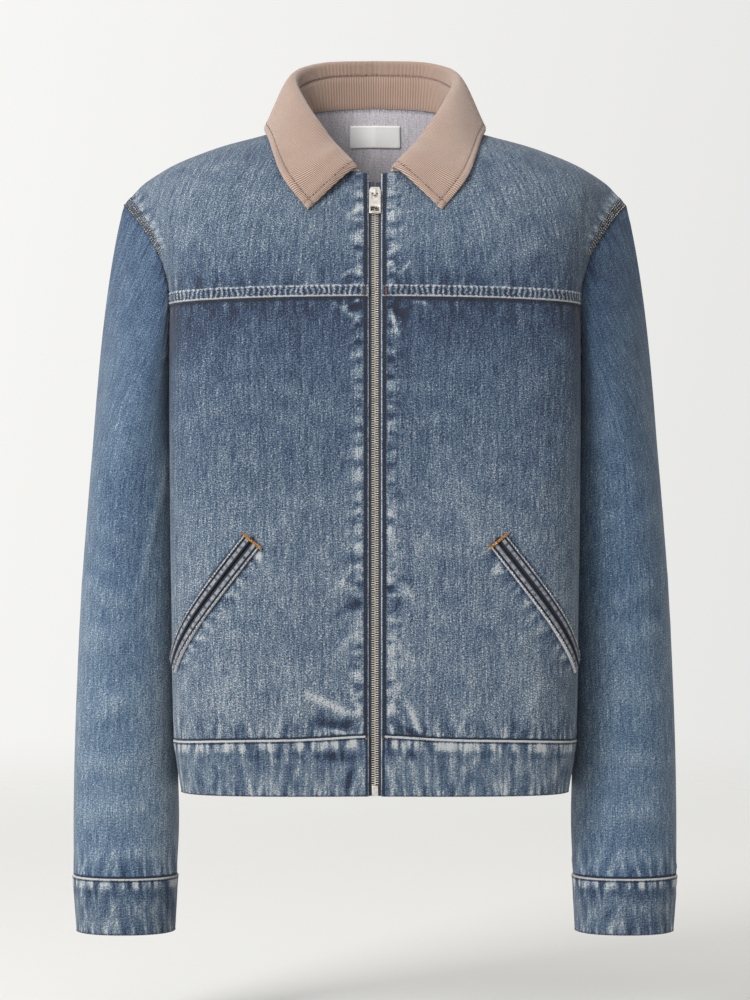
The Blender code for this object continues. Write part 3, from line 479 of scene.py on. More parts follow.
def sleeve_ring(z, turn):
    """The sleeve at height z. A turn of 0 is its outer side, a quarter turn its front."""
    sizes = [along(SLEEVE, "z", name, z) for name in Ring._fields[1:]]
    outer, inner, centre_y, half_depth = sizes
    across, out = np.cos(turn), np.sin(turn)
    power = SLEEVE_ROUNDNESS
    reach = (np.abs(across) ** power + np.abs(out) ** power) ** (-1 / power)
    x = (outer + inner) / 2 + (outer - inner) / 2 * reach * across
    return np.stack([x, centre_y - half_depth * reach * out, np.full_like(x, z)], axis=1)


def sleeve_grid(ring, turn):
    """Rows from the cuff seam up to the armhole."""
    low = sleeve_ring(SLEEVE_RING_Z, turn)
    below = sleeve_ring(SLEEVE_RING_Z - 0.004, turn)
    out, forward = np.cos(turn), np.sin(turn)
    down = np.full_like(turn, -LEAVE_DOWN)
    leave = unit(np.stack([LEAVE_OUT + 0.02 * out, -LEAVE_APART * forward, down], axis=1))
    chord = np.linalg.norm(low - ring, axis=1, keepdims=True)
    arrive = unit(below - low) * chord
    cap = [hermite(ring, leave * chord, low, arrive, t) for t in np.linspace(0, 1, CAP_ROWS + 1)]
    tube = [sleeve_ring(z, turn) for z in SLEEVE_HEIGHTS[1:]]
    return np.array(cap + tube)[::-1, ::-1]


def cuff_grid(turn):
    heights = heights_between(CUFF_END_Z, CUFF_Z, 0.003)
    return np.array([sleeve_ring(z, turn) for z in heights])[:, ::-1]


def collar_line(share, part):
    return np.array([along(COLLAR, "share", f"{part}_{axis}", share) for axis in "xyz"])


def collar_path(share, drape):
    """The collar's face at one place: the inner leaf's ends, the roll, and the fall to its edge."""
    angle = COLLAR_FRONT_ANGLE + (180.0 - COLLAR_FRONT_ANGLE) * share
    seam = neck_point(angle)
    top = collar_line(share, "roll")
    edge = drape(collar_line(share, "edge"))
    up = unit(top - seam)
    out = edge - seam
    out = unit(out - up * np.dot(out, up))
    start = seam + up * COLLAR_LIFT
    centre = top - up * ROLL_RADIUS + out * ROLL_RADIUS
    turns = np.linspace(0, ROLL_TURN, 13)
    roll = [centre + (up * math.sin(a) - out * math.cos(a)) * ROLL_RADIUS for a in turns]
    leaf = np.linalg.norm(roll[0] - start)
    joint = start + (roll[0] - start) * max(0.0, 1 - STAND_SEAM_BELOW_ROLL / leaf)
    reach = edge - roll[-1]
    leave = unit(roll[-1] - roll[-2]) * np.linalg.norm(reach) * FALL_PULL
    fall = [drape(hermite(roll[-1], leave, edge, reach, t)) for t in np.linspace(0, 1, 22)[1:]]
    return start, joint, [*roll, *fall]


def distance_at_x(x, z):
    """How far along the cloth from the zip edge a front reaches x."""
    line = front_line(z)
    return float(np.interp(x, line[:120, 0], lengths_along(line)[:120]))


def on_grid(grid, x, z):
    """The point of a right half grid at a place in x and z. Outside it, its edge is carried on."""
    line = [[np.interp(z, column[:, 2], column[:, k]) for k in range(3)] for column in grid]
    line = np.array(line)
    if x < line[0, 0]:
        return line[0] + (line[1] - line[0]) * (x - line[0, 0]) / (line[1, 0] - line[0, 0])
    return np.array([np.interp(x, line[:, 0], line[:, k]) for k in range(3)])


class ZipLine:
    """The fronts' face at the zip, as points over its height with their outward directions."""

    def __init__(self, bands):
        self.edge = np.concatenate([band[:, 0] for band in bands])
        self.beside = np.concatenate([band[:, 1] for band in bands])
        order = np.argsort(self.edge[:, 2])
        self.edge, self.beside = self.edge[order], self.beside[order]

    def point(self, x, z):
        """A point of the face beside the zip, carried on across the gap."""
        t = (x - FRONT_EDGE_X) / (self.beside[:, 0] - FRONT_EDGE_X)
        line = self.edge + (self.beside - self.edge) * t[:, None]
        return np.array([np.interp(z, line[:, 2], line[:, k]) for k in range(3)])

    def outward(self, z, step=0.003):
        """Direction out of the face at a height, and direction up along it."""
        up = unit(self.point(0.0, z + step) - self.point(0.0, z - step)) * np.array([0, 1, 1])
        up = unit(up)
        return np.array([0.0, -up[2], up[1]]), up


def draper(objects):
    """A function that lifts a point clear of the cloth below it, away from the chest's middle."""
    points, faces = [], []
    for obj in objects:
        start = len(points)
        points += [v.co.copy() for v in obj.data.vertices]
        faces += [[start + i for i in p.vertices] for p in obj.data.polygons]
    tree = BVHTree.FromPolygons(points, faces)
    centre = Vector(DRAPE_CENTRE)

    def lifted(point):
        away = Vector(point) - centre
        height = away.length
        away.normalize()
        start = centre + away * (height + DRAPE_ABOVE)
        place, normal, _, _ = tree.ray_cast(start, -away, DRAPE_ABOVE + DRAPE_BELOW)
        if place is None:
            return np.array(point)
        slope = max(STEEPEST_SLOPE, away.dot(normal))
        needed = (place - centre).length + DRAPE_CLEARANCE / slope
        return np.array(centre + away * max(height, needed))

    return lifted


# ---------------------------------------------------------------- wash and folds

# How pale the wash is at each height, from 0, deep indigo, to 1, nearly white
Fade = namedtuple("Fade", "z body sleeve")
FADE = (
    Fade(-0.720, 0.52, 0.50),
    Fade(-0.660, 0.52, 0.50),
    Fade(-0.560, 0.57, 0.55),
    Fade(-0.490, 0.58, 0.55),
    Fade(-0.370, 0.54, 0.48),
    Fade(-0.310, 0.49, 0.45),
    Fade(-0.250, 0.40, 0.41),
    Fade(-0.200, 0.31, 0.38),
    Fade(-0.163, 0.23, 0.36),
    Fade(-0.150, 0.31, 0.36),
    Fade(-0.105, 0.50, 0.36),
    Fade(-0.020, 0.47, 0.36),
)

# Folds, in millimetres: a soft ridge or, where its height is below zero, a trough. The worn column
# makes the cloth paler along the fold, and darker where it is below zero
Fold = namedtuple("Fold", "x z to_x to_z width height worn")
FRONT_FOLDS = (
    # pulled from the zip, over the yoke seam
    (9, -132, 17, -131, 1.5, 0.5, 0.60),
    (20, -143, 31, -129, 1.7, 0.5, 0.55),
    (10, -142, 17, -137, 1.5, 0.4, 0.45),
    (11, -123, 22, -117, 1.6, 0.4, 0.40),
    (-29, -143, -11, -134, 1.7, 0.5, 0.55),
    (-18, -143, -11, -139, 1.5, 0.4, 0.45),
    (10, -84, 26, -88, 3.0, 0.6, 0.30),
    (9, -104, 25, -96, 2.2, -0.7, -0.40),
    (-26, -92, -10, -80, 2.4, 0.6, 0.35),
    # pulled from the zip, under the yoke
    (-22, -157, -15, -164, 1.5, 0.6, 0.85),
    (-27, -170, -13, -163, 1.7, 0.5, 0.60),
    (-36, -165, -14, -180, 2.0, 0.6, 0.60),
    (-22, -187, -11, -178, 2.0, 0.5, 0.50),
    (-24, -162, -12, -174, 4.5, -0.8, -0.45),
    (12, -170, 21, -196, 1.5, 0.6, 0.80),
    (11, -162, 16, -176, 1.5, 0.5, 0.55),
    (19, -158, 46, -168, 2.2, 0.6, 0.60),
    (14, -225, 25, -237, 1.6, 0.4, 0.32),
    (10, -168, 30, -180, 5.0, -0.8, -0.45),
    # soft pulls beside the zip and above the waistband
    (-11, -402, -18, -430, 4.5, -0.8, -0.45),
    (-14, -416, -38, -436, 3.0, -0.6, -0.30),
    (12, -404, 22, -434, 4.5, -0.8, -0.45),
    (12, -398, 34, -404, 2.6, -0.5, -0.28),
    (12, -414, 33, -412, 2.0, 0.5, 0.35),
    (-12, -408, -32, -404, 2.0, 0.5, 0.35),
    (-12, -526, -58, -522, 4.5, -1.0, -0.60),
    (17, -522, 42, -535, 4.0, -1.0, -0.60),
    (24, -500, 40, -534, 2.2, 0.7, 0.50),
    (-22, -532, -44, -528, 2.0, 0.7, 0.55),
    (-12, -516, -22, -490, 2.0, 0.6, 0.40),
    (10, -520, 22, -488, 2.0, 0.6, 0.40),
    (22, -540, 34, -562, 2.0, 0.6, 0.50),
    (12, -556, 18, -582, 2.4, 0.7, 0.40),
    (-20, -560, -24, -588, 2.6, -0.8, -0.55),
    (-56, -551, -14, -553, 3.0, -0.8, -0.45),
    (24, -553, 34, -549, 3.5, -0.7, -0.45),
    (-14, -385, -42, -420, 3.0, 0.6, 0.22),
    (13, -388, 40, -430, 3.0, 0.6, 0.22),
    (-12, -440, -34, -468, 3.0, 0.6, 0.25),
    (12, -446, 37, -478, 3.0, 0.6, 0.25),
    (-13, -519, -62, -496, 3.4, 0.9, 0.55),
    (15, -520, 44, -532, 3.0, 0.9, 0.45),
    (-62, -536, -74, -470, 9.0, 1.3, 0.09),
    (84, -536, 78, -462, 10.0, 1.4, 0.09),
    (-112, -536, -128, -488, 8.0, 1.4, 0.09),
    (128, -536, 142, -484, 8.0, 1.3, 0.09),
    # from the pockets to the side
    (-92, -372, -56, -330, 9.0, 1.2, 0.08),
    (94, -374, 62, -322, 9.0, 1.2, 0.08),
    (-150, -430, -118, -452, 5.0, 0.9, 0.12),
    (152, -434, 120, -458, 5.0, 0.9, 0.12),
    # from the armholes over the chest
    (-172, -212, -118, -262, 12.0, 2.0, 0.06),
    (174, -204, 122, -250, 12.0, 2.0, 0.06),
    (-174, -262, -128, -318, 10.0, 1.5, 0.04),
    (175, -270, 134, -330, 10.0, 1.6, 0.04),
    (-162, -104, -120, -140, 8.0, 1.2, 0.08),
    (160, -98, 118, -132, 8.0, 1.2, 0.08),
    (-96, -60, -108, -120, 9.0, 0.9, 0.04),
    (100, -64, 96, -126, 9.0, 0.8, 0.04),
    # sleeves
    (-178, -292, -206, -420, 3.5, 1.0, 0.18),
    (-250, -350, -214, -372, 8.0, 1.6, 0.07),
    (-258, -402, -206, -432, 9.0, 2.0, 0.08),
    (-260, -448, -214, -462, 8.0, 1.6, 0.09),
    (-262, -520, -196, -506, 9.0, 1.5, 0.08),
    (-262, -560, -200, -566, 9.0, 1.6, 0.09),
    (-262, -608, -196, -600, 9.0, 1.8, 0.11),
    (-258, -644, -190, -640, 7.0, 1.7, 0.11),
    (254, -342, 212, -364, 8.0, 1.6, 0.07),
    (258, -396, 204, -428, 9.0, 2.0, 0.08),
    (262, -440, 214, -456, 8.0, 1.5, 0.09),
    (262, -512, 198, -500, 9.0, 1.6, 0.08),
    (262, -566, 200, -552, 9.0, 1.5, 0.09),
    (262, -602, 194, -608, 9.0, 1.8, 0.11),
    (258, -646, 192, -642, 7.0, 1.6, 0.11),
    (-236, -150, -214, -214, 8.0, 1.3, 0.05),
    (238, -146, 214, -222, 8.0, 1.3, 0.05),
)
BACK_FOLDS = (
    # body
    (-20, -70, -150, -150, 12.0, 1.6, 0.06),
    (26, -60, 150, -142, 12.0, 1.5, 0.06),
    (-160, -200, -90, -290, 13.0, 2.0, 0.06),
    (162, -188, 96, -272, 13.0, 2.1, 0.06),
    (-166, -300, -110, -360, 11.0, 1.5, 0.04),
    (165, -312, 116, -380, 11.0, 1.6, 0.04),
    (-70, -536, -58, -440, 11.0, 1.7, 0.08),
    (66, -536, 80, -452, 11.0, 1.6, 0.08),
    (8, -536, -6, -476, 9.0, 1.2, 0.06),
    (-128, -536, -140, -470, 9.0, 1.4, 0.08),
    (132, -536, 138, -478, 9.0, 1.3, 0.08),
    # sleeves
    (-256, -330, -196, -366, 9.0, 1.8, 0.07),
    (-258, -380, -192, -398, 8.0, 2.0, 0.08),
    (-260, -426, -190, -430, 8.0, 1.8, 0.08),
    (-260, -486, -200, -470, 9.0, 1.6, 0.07),
    (-258, -600, -192, -612, 9.0, 1.6, 0.09),
    (-256, -645, -190, -640, 7.0, 1.6, 0.09),
    (256, -338, 198, -372, 9.0, 1.8, 0.07),
    (258, -386, 190, -404, 8.0, 2.0, 0.08),
    (260, -430, 192, -436, 8.0, 1.7, 0.08),
    (260, -492, 202, -478, 9.0, 1.6, 0.07),
    (258, -606, 194, -598, 9.0, 1.6, 0.09),
    (256, -646, 190, -641, 7.0, 1.6, 0.09),
)
FOLD_END_BLUNTNESS = 0.6  # how bluntly a fold runs out at its ends
FOLD_SIDE_FADE = 3.0  # how soon a fold ends where the cloth turns sideways

# How unevenly the puckers beside a seam are drawn up, as shares of the usual
UNEVEN_WIDTH = (0.75, 1.25)
UNEVEN_LENGTH = (0.55, 1.25)
UNEVEN_HEIGHT = (0.45, 1.0)
UNEVEN_SPACING = (0.70, 1.35)


def gathers(run, off, spacing, reach, seed, fill, lean):
    """Uneven ridges that cross a seam, from 0 to 1, fading with the distance off it."""
    chance = np.random.default_rng(seed)
    value = np.zeros(np.broadcast(run, off).shape)
    near = off < 2.2 * reach
    run, off = run[near], off[near]
    total = np.zeros(run.shape)
    at = float(run.min()) + spacing * chance.random() if run.size else 0.0
    while run.size and at < run.max() + spacing:
        width = spacing * fill * chance.uniform(*UNEVEN_WIDTH)
        slope = lean * chance.normal()
        length = reach * chance.uniform(*UNEVEN_LENGTH)
        across = (run + slope * off - at) / width
        total += chance.uniform(*UNEVEN_HEIGHT) * bell(across) * bell(off / length)
        at += spacing * chance.uniform(*UNEVEN_SPACING)
    value[near] = total
    return value


class Sheet:
    """One piece of cloth: its points, how far each stands out, and its tone: how pale it is washed,
    with painted shade and painted light in places.
    """

    def __init__(self, name, grid, thickness, wrap=False, sleeve=False):
        self.name = name
        self.grid = grid
        self.thickness = thickness
        self.wrap = wrap
        self.normals = grid_normals(grid, wrap)
        self.rise = np.zeros(grid.shape[:2])
        self.relief = np.zeros(grid.shape[:2])
        heights = np.clip(grid[..., 2], FADE[0].z, FADE[-1].z)
        self.tone = along(FADE, "z", "sleeve" if sleeve else "body", heights)
        closed = np.concatenate([grid, grid[:, :1]], axis=1) if wrap else grid
        across = np.linalg.norm(np.diff(closed, axis=1), axis=2)
        upward = np.linalg.norm(np.diff(grid, axis=0), axis=2)
        first = np.zeros((len(grid), 1))
        self.whole_run = np.concatenate([first, np.cumsum(across, axis=1)], axis=1)
        self.run = self.whole_run[:, : grid.shape[1]]
        self.up = np.concatenate([np.zeros((1, grid.shape[1])), np.cumsum(upward, axis=0)])
        self.plumb = np.zeros(grid.shape[1], int)  # the column each column's weave hangs from
        self.lengthwise = self.up
        # where seams pull puckers across them, draw them along, or twist a strip like rope
        self.pulled, self.drawn, self.roped = (np.zeros(grid.shape[:2]) for _ in range(3))

    def off(self, edge):
        """Each point's distance from an edge: low, high, start or end."""
        return {
            "low": self.up,
            "high": self.up[-1:] - self.up,
            "start": self.run,
            "end": self.run[:, -1:] - self.run,
        }[edge]

    def beside(self, edge):
        """Each point's place along an edge."""
        return self.run if edge in ("low", "high") else self.up

    def gather(self, edge, puckers, seed):
        """Small ridges drawn up by an edge's stitching: high and pale, with dark between."""
        off, (spacing, reach, height, pale, fill, lean) = self.off(edge), puckers
        ridge = gathers(self.beside(edge), off, spacing, reach, seed, fill, lean)
        level = 0.45 * bell(off / reach)
        self.relief += height * (ridge - level)
        self.tone += pale * (ridge - level)

    def rope(self, edge, spacing, seed, base=0.0):
        """A folded seam's strip, twisted by its stitching into pale and dark bars."""
        off = self.off(edge)
        inside = rising(FELLED_WIDTH - off, 0.0006)
        bars = gathers(self.beside(edge), off, spacing, 3 * FELLED_WIDTH, seed, 0.26, 0.35)
        middle = np.sin(np.pi * rising(off, FELLED_WIDTH)) ** 0.4
        self.tone += inside * (base + ROPE_PALE * (bars - 0.40) * middle)
        self.relief += inside * ROPE_HEIGHT * (bars - 0.40) * middle

    def line(self, edge, low, high, tone, blend=0.0005, share=1.0):
        """A stripe of one shade, between two distances from an edge."""
        off = self.off(edge)
        after, before = (off - low) / blend + 1, (high - off) / blend + 1
        self.tone += (tone - self.tone) * np.clip(after, 0, 1) * np.clip(before, 0, 1) * share

    def fold(self):
        """The folds that are listed, one by one."""
        x, z = self.grid[..., 0] * 1000, self.grid[..., 2] * 1000
        for folds, facing in ((FRONT_FOLDS, -FOLD_SIDE_FADE), (BACK_FOLDS, FOLD_SIDE_FADE)):
            shown = np.clip(self.normals[..., 1] * facing, 0, 1)
            for fold in map(Fold._make, folds):
                toward = np.array([fold.to_x - fold.x, fold.to_z - fold.z], float)
                length = float(np.hypot(*toward))
                toward /= length
                on = ((x - fold.x) * toward[0] + (z - fold.z) * toward[1]) / length
                across = (z - fold.z) * toward[0] - (x - fold.x) * toward[1]
                ends = np.clip(1 - (2 * on - 1) ** 2, 0, 1) ** FOLD_END_BLUNTNESS
                shape = bell(across / fold.width) * ends * shown
                self.relief += fold.height / 1000 * shape
                # Paler along the fold, or darker where the last column is below zero
                self.tone += fold.worn * shape

    def soften(self, edges, depth=0.0009):
        """Rounds the piece's cut edges."""
        for edge in edges:
            short = np.clip(1 - self.off(edge) / depth, 0, 1)
            self.rise -= EDGE_ROUNDING * self.thickness * (1 - np.sqrt(1 - short**2 * 0.98))

    def face(self):
        return self.grid + self.normals * (self.rise + self.relief)[..., None]

    def edge_line(self, edge, distance):
        """Points and outward directions along an edge, at a distance in from it."""
        off, points, normals = self.off(edge), self.face(), self.normals
        if edge in ("low", "high"):
            off, points, normals = off.T, points.transpose(1, 0, 2), normals.transpose(1, 0, 2)
        if edge in ("high", "end"):
            off, points, normals = off[:, ::-1], points[:, ::-1], normals[:, ::-1]
        line, out = [], []
        for steps, row, normal in zip(off, points, normals):
            line.append([np.interp(distance, steps, row[:, k]) for k in range(3)])
            out.append([np.interp(distance, steps, normal[:, k]) for k in range(3)])
        line, out = np.array(line), unit(np.array(out))
        if self.wrap and edge in ("low", "high"):
            line, out = np.concatenate([line, line[:1]]), np.concatenate([out, out[:1]])
        return line, out

    def build(self, outside, inside):
        """The shell: its face, its wrong side and the edges between them."""
        rows, columns = self.grid.shape[:2]
        under = self.grid - self.normals * (self.thickness - self.relief)[..., None]
        points = np.concatenate([self.face().reshape(-1, 3), under.reshape(-1, 3)])
        spans = columns if self.wrap else columns - 1
        r, c = np.meshgrid(np.arange(rows - 1), np.arange(spans), indexing="ij")
        r, c = r.ravel(), c.ravel()
        front = np.array([(r, c), (r, c + 1), (r + 1, c + 1), (r + 1, c)])
        quads = [(front, (0, 0, 0, 0)), (front[::-1], (1, 1, 1, 1))]
        edge = np.arange(spans)
        low, top = np.zeros(spans, int), np.full(spans, rows - 1)
        here, next_one = (low, edge), (low, edge + 1)
        quads.append(((here, here, next_one, next_one), (0, 1, 1, 0)))
        here, next_one = (top, edge), (top, edge + 1)
        quads.append(((here, next_one, next_one, here), (0, 0, 1, 1)))
        if not self.wrap:
            edge, after = np.arange(rows - 1), np.arange(1, rows)
            start, end = np.zeros(rows - 1, int), np.full(rows - 1, columns - 1)
            here, next_one = (edge, start), (after, start)
            quads.append(((here, next_one, next_one, here), (0, 0, 1, 1)))
            here, next_one = (edge, end), (after, end)
            quads.append(((here, here, next_one, next_one), (0, 1, 1, 0)))
        corners = np.concatenate([np.array(quad).transpose(2, 0, 1) for quad, _ in quads])
        sides = np.concatenate([np.tile(side, (len(quad[0][0]), 1)) for quad, side in quads])
        index = sides * rows * columns + corners[..., 0] * columns + corners[..., 1] % columns
        mesh = bpy.data.meshes.new(self.name)
        mesh.from_pydata(points.tolist(), [], index.tolist())
        across = self.whole_run[corners[..., 0], corners[..., 1]]
        hung_from = self.plumb[corners[..., 1].min(axis=1) % columns][:, None]
        across = across - self.whole_run[corners[..., 0], hung_from]
        upward = self.lengthwise[corners[..., 0], corners[..., 1] % columns]
        cut = mesh.uv_layers.new(name="cut")
        cut.data.foreach_set("uv", np.stack([across, upward], axis=-1).astype(np.float32).ravel())
        for name in ("tone", "pulled", "drawn", "roped"):
            values = np.tile(getattr(self, name).ravel(), 2).astype(np.float32)
            mesh.attributes.new(name, "FLOAT", "POINT").data.foreach_set("value", values)
        mesh.materials.append(outside)
        mesh.materials.append(inside)
        wrong_side = np.zeros(len(index), int)
        wrong_side[len(r) : 2 * len(r)] = 1
        mesh.polygons.foreach_set("material_index", wrong_side)
        mesh.shade_smooth()
        mesh.set_sharp_from_angle(angle=math.radians(60))
        return placed(self.name, mesh)


def dressed(sheet, node, outside, inside):
    """Builds a piece of cloth in place of its plain solid."""
    obj = sheet.build(outside, inside)
    fitted(obj, JACKET, node)


# ---------------------------------------------------------------- finishes

# Shades from the deepest dye to the most worn cloth: a place on the scale, and its colour
INDIGO = (
    (0.00, (0.004, 0.008, 0.020)),
    (0.20, (0.011, 0.027, 0.068)),
    (0.40, (0.034, 0.063, 0.110)),
    (0.58, (0.070, 0.103, 0.142)),
    (0.76, (0.136, 0.172, 0.206)),
    (0.88, (0.200, 0.232, 0.260)),
    (1.00, (0.350, 0.362, 0.370)),
)
WELT_GREY = (
    (0.00, (0.004, 0.005, 0.010)),
    (0.30, (0.040, 0.052, 0.080)),
    (0.62, (0.175, 0.190, 0.222)),
    (1.00, (0.440, 0.450, 0.470)),
)
SLEEVE_INDIGO = (
    (0.00, (0.004, 0.009, 0.022)),
    (0.20, (0.011, 0.029, 0.074)),
    (0.40, (0.035, 0.071, 0.130)),
    (0.58, (0.068, 0.113, 0.168)),
    (0.76, (0.130, 0.180, 0.232)),
    (1.00, (0.310, 0.345, 0.380)),
)
# The wrong side's shades: the denim's own pale back, painted paler still as painted light for the
# shaded inside of the neck
WRONG_SIDE_WITH_PAINTED_LIGHT = (
    (0.00, (0.180, 0.172, 0.205)),
    (0.50, (0.590, 0.560, 0.600)),
    (1.00, (0.850, 0.820, 0.850)),
)
CORD_SHADES = (
    (0.00, (0.072, 0.040, 0.028)),
    (0.30, (0.194, 0.121, 0.087)),
    (0.55, (0.317, 0.212, 0.162)),
    (0.80, (0.432, 0.306, 0.243)),
    (1.00, (0.517, 0.391, 0.319)),
)
WALE_PITCH = 0.00155
ROPE_PITCH = 0.0046  # from bar to bar of a seam that is twisted like rope
ROPE_HEIGHT = 0.00040
ROPE_PALE = 0.30

# The twill's yarns: how fine, how they stretch across and along the cut, and how much they show
Yarn = namedtuple("Yarn", "fineness across along shows slanting")
TWILL = (
    Yarn(1250.0, 0.50, 1.0, 2.5, True),
    Yarn(900.0, 1.0, 0.08, 1.0, False),
    Yarn(1050.0, 0.28, 1.0, 1.0, False),
    Yarn(300.0, 1.0, 0.035, 0.5, False),
)
TWILL_SLANT = math.radians(-38)


def nodes_of(tree, kind, **values):
    node = tree.nodes.new(kind)
    for name, value in values.items():
        setattr(node, name, value)
    return node


def link(tree, source, target):
    tree.links.new(source, target)


def sum_of(tree, *terms, base=0.0):
    """base + each value times its weight."""
    result = None
    for value, weight in terms:
        node = nodes_of(tree, "ShaderNodeMath", operation="MULTIPLY_ADD")
        link(tree, value, node.inputs[0])
        node.inputs[1].default_value = weight
        if result is None:
            node.inputs[2].default_value = base
        else:
            link(tree, result, node.inputs[2])
        result = node.outputs[0]
    return result


def math_of(tree, operation, first, second=None):
    node = nodes_of(tree, "ShaderNodeMath", operation=operation)
    link(tree, first, node.inputs[0])
    if isinstance(second, (int, float)):
        node.inputs[1].default_value = second
    elif second is not None:
        link(tree, second, node.inputs[1])
    return node.outputs[0]


def noise_of(tree, vector, scale, stretch=(1.0, 1.0, 1.0), detail=2.0, roughness=0.55):
    place = nodes_of(tree, "ShaderNodeMapping")
    place.inputs["Scale"].default_value = [scale * s for s in stretch]
    link(tree, vector, place.inputs["Vector"])
    noise = nodes_of(tree, "ShaderNodeTexNoise")
    noise.inputs["Scale"].default_value = 1.0
    noise.inputs["Detail"].default_value = detail
    noise.inputs["Roughness"].default_value = roughness
    link(tree, place.outputs["Vector"], noise.inputs["Vector"])
    return noise.outputs["Fac"]


def object_place(tree):
    return nodes_of(tree, "ShaderNodeTexCoord").outputs["Object"]


def cut_place(tree):
    """The place on the cloth's own cut, in metres."""
    return nodes_of(tree, "ShaderNodeUVMap", uv_map="cut").outputs["UV"]


def parts_of(tree, vector):
    parts = nodes_of(tree, "ShaderNodeSeparateXYZ")
    link(tree, vector, parts.inputs[0])
    return parts.outputs


def painted(tree, name):
    return nodes_of(tree, "ShaderNodeAttribute", attribute_name=name).outputs["Fac"]


def group_of(name, inputs, outputs):
    """An empty node group with its sockets. Returns it with its input and output nodes."""
    tree = bpy.data.node_groups.new(name, "ShaderNodeTree")
    for entry, value in inputs.items():
        socket = tree.interface.new_socket(entry, in_out="INPUT", socket_type="NodeSocketFloat")
        socket.default_value = value
    for entry in outputs:
        tree.interface.new_socket(entry, in_out="OUTPUT", socket_type="NodeSocketFloat")
    return tree, tree.nodes.new("NodeGroupInput"), tree.nodes.new("NodeGroupOutput")


def twill_group():
    """Twill weave on the cloth's own cut: slanting grain, slubby upright yarns, and fine weft."""
    tree, _, end = group_of("twill_weave", {}, ["Yarns"])
    cut = cut_place(tree)
    slant = nodes_of(tree, "ShaderNodeMapping", vector_type="TEXTURE")
    slant.inputs["Rotation"].default_value = (0.0, 0.0, TWILL_SLANT)
    link(tree, cut, slant.inputs["Vector"])
    yarns = []
    for yarn in TWILL:
        place = slant.outputs["Vector"] if yarn.slanting else cut
        stretch = (yarn.across, yarn.along, 1.0)
        yarns.append((noise_of(tree, place, yarn.fineness, stretch, 1.0, 0.5), yarn.shows))
    level = sum(yarn.shows for yarn in TWILL) / 2
    link(tree, sum_of(tree, *yarns, base=-level), end.inputs["Yarns"])
    return tree


def wash_group():
    """How pale the cloth is: its painted tone, which holds the wash with painted shade and light,
    and clouds, blotches and puckers.
    """
    tree, start, end = group_of("wash", {"Cloud": 0.10, "Blotch": 0.12}, ["Fade", "Pucker"])
    place, cut = object_place(tree), cut_place(tree)
    fades = [(painted(tree, "tone"), 1.0)]
    for name, scale in (("Cloud", 13.0), ("Blotch", 62.0)):
        patch = sum_of(tree, (noise_of(tree, place, scale, detail=3.0), 1.0), base=-0.5)
        fades.append((math_of(tree, "MULTIPLY", patch, start.outputs[name]), 1.0))
    shapes = {}
    puckers = ("pulled", 175.0, (1.0, 0.20, 1.0)), ("drawn", 130.0, (0.30, 1.0, 1.0))
    for name, scale, stretch in puckers:
        shapes[name] = sum_of(tree, (noise_of(tree, cut, scale, stretch, 1.0), 3.4), base=-1.7)
    waver = noise_of(tree, cut, 120.0, (0.5, 1.6, 1.0), 1.0)
    turns = sum_of(tree, (parts_of(tree, cut)["X"], 2 * math.pi / ROPE_PITCH), (waver, 8.0))
    shapes["roped"] = sum_of(tree, (math_of(tree, "SINE", turns), 0.42))
    shown = [(math_of(tree, "MULTIPLY", painted(tree, name), shapes[name]), 1.0) for name in shapes]
    pucker = sum_of(tree, *shown)
    link(tree, pucker, end.inputs["Pucker"])
    link(tree, sum_of(tree, *fades, (pucker, 1.0)), end.inputs["Fade"])
    return tree


def shades(tree, value, stops):
    ramp = nodes_of(tree, "ShaderNodeValToRGB")
    link(tree, value, ramp.inputs["Fac"])
    elements = ramp.color_ramp.elements
    while len(elements) < len(stops):
        elements.new(0.5)
    for element, (position, colour) in zip(elements, stops):
        element.position = position
        element.color = (*colour, 1.0)
    return ramp.outputs["Color"]


def plain_finish(name, colour, roughness, metallic=0.0, sheen=0.0):
    material = bpy.data.materials.new(name)
    material.use_nodes = True
    shader = material.node_tree.nodes["Principled BSDF"]
    shader.inputs["Base Color"].default_value = (*colour, 1.0)
    shader.inputs["Roughness"].default_value = roughness
    shader.inputs["Metallic"].default_value = metallic
    shader.inputs["Sheen Weight"].default_value = sheen
    shader.inputs["Sheen Roughness"].default_value = 0.5
    return material, material.node_tree, shader


def raised(tree, shader, height, distance, strength):
    bump = nodes_of(tree, "ShaderNodeBump")
    bump.inputs["Distance"].default_value = distance
    bump.inputs["Strength"].default_value = strength
    link(tree, height, bump.inputs["Height"])
    link(tree, bump.outputs["Normal"], shader.inputs["Normal"])


def denim_finish(name, twill, wash, stops, cloud, blotch, yarn):
    """Washed denim. Cloud, blotch and yarn say how strongly each shows."""
    material, tree, shader = plain_finish(name, stops[1][1], 0.88, sheen=0.08)
    weave = nodes_of(tree, "ShaderNodeGroup", node_tree=twill)
    fade = nodes_of(tree, "ShaderNodeGroup", node_tree=wash)
    fade.inputs["Cloud"].default_value = cloud
    fade.inputs["Blotch"].default_value = blotch
    pale = sum_of(tree, (fade.outputs["Fade"], 1.0), (weave.outputs["Yarns"], yarn))
    link(tree, shades(tree, pale, stops), shader.inputs["Base Color"])
    height = sum_of(tree, (weave.outputs["Yarns"], 0.7), (fade.outputs["Pucker"], 1.3))
    raised(tree, shader, height, 0.00024, 0.7)
    return material


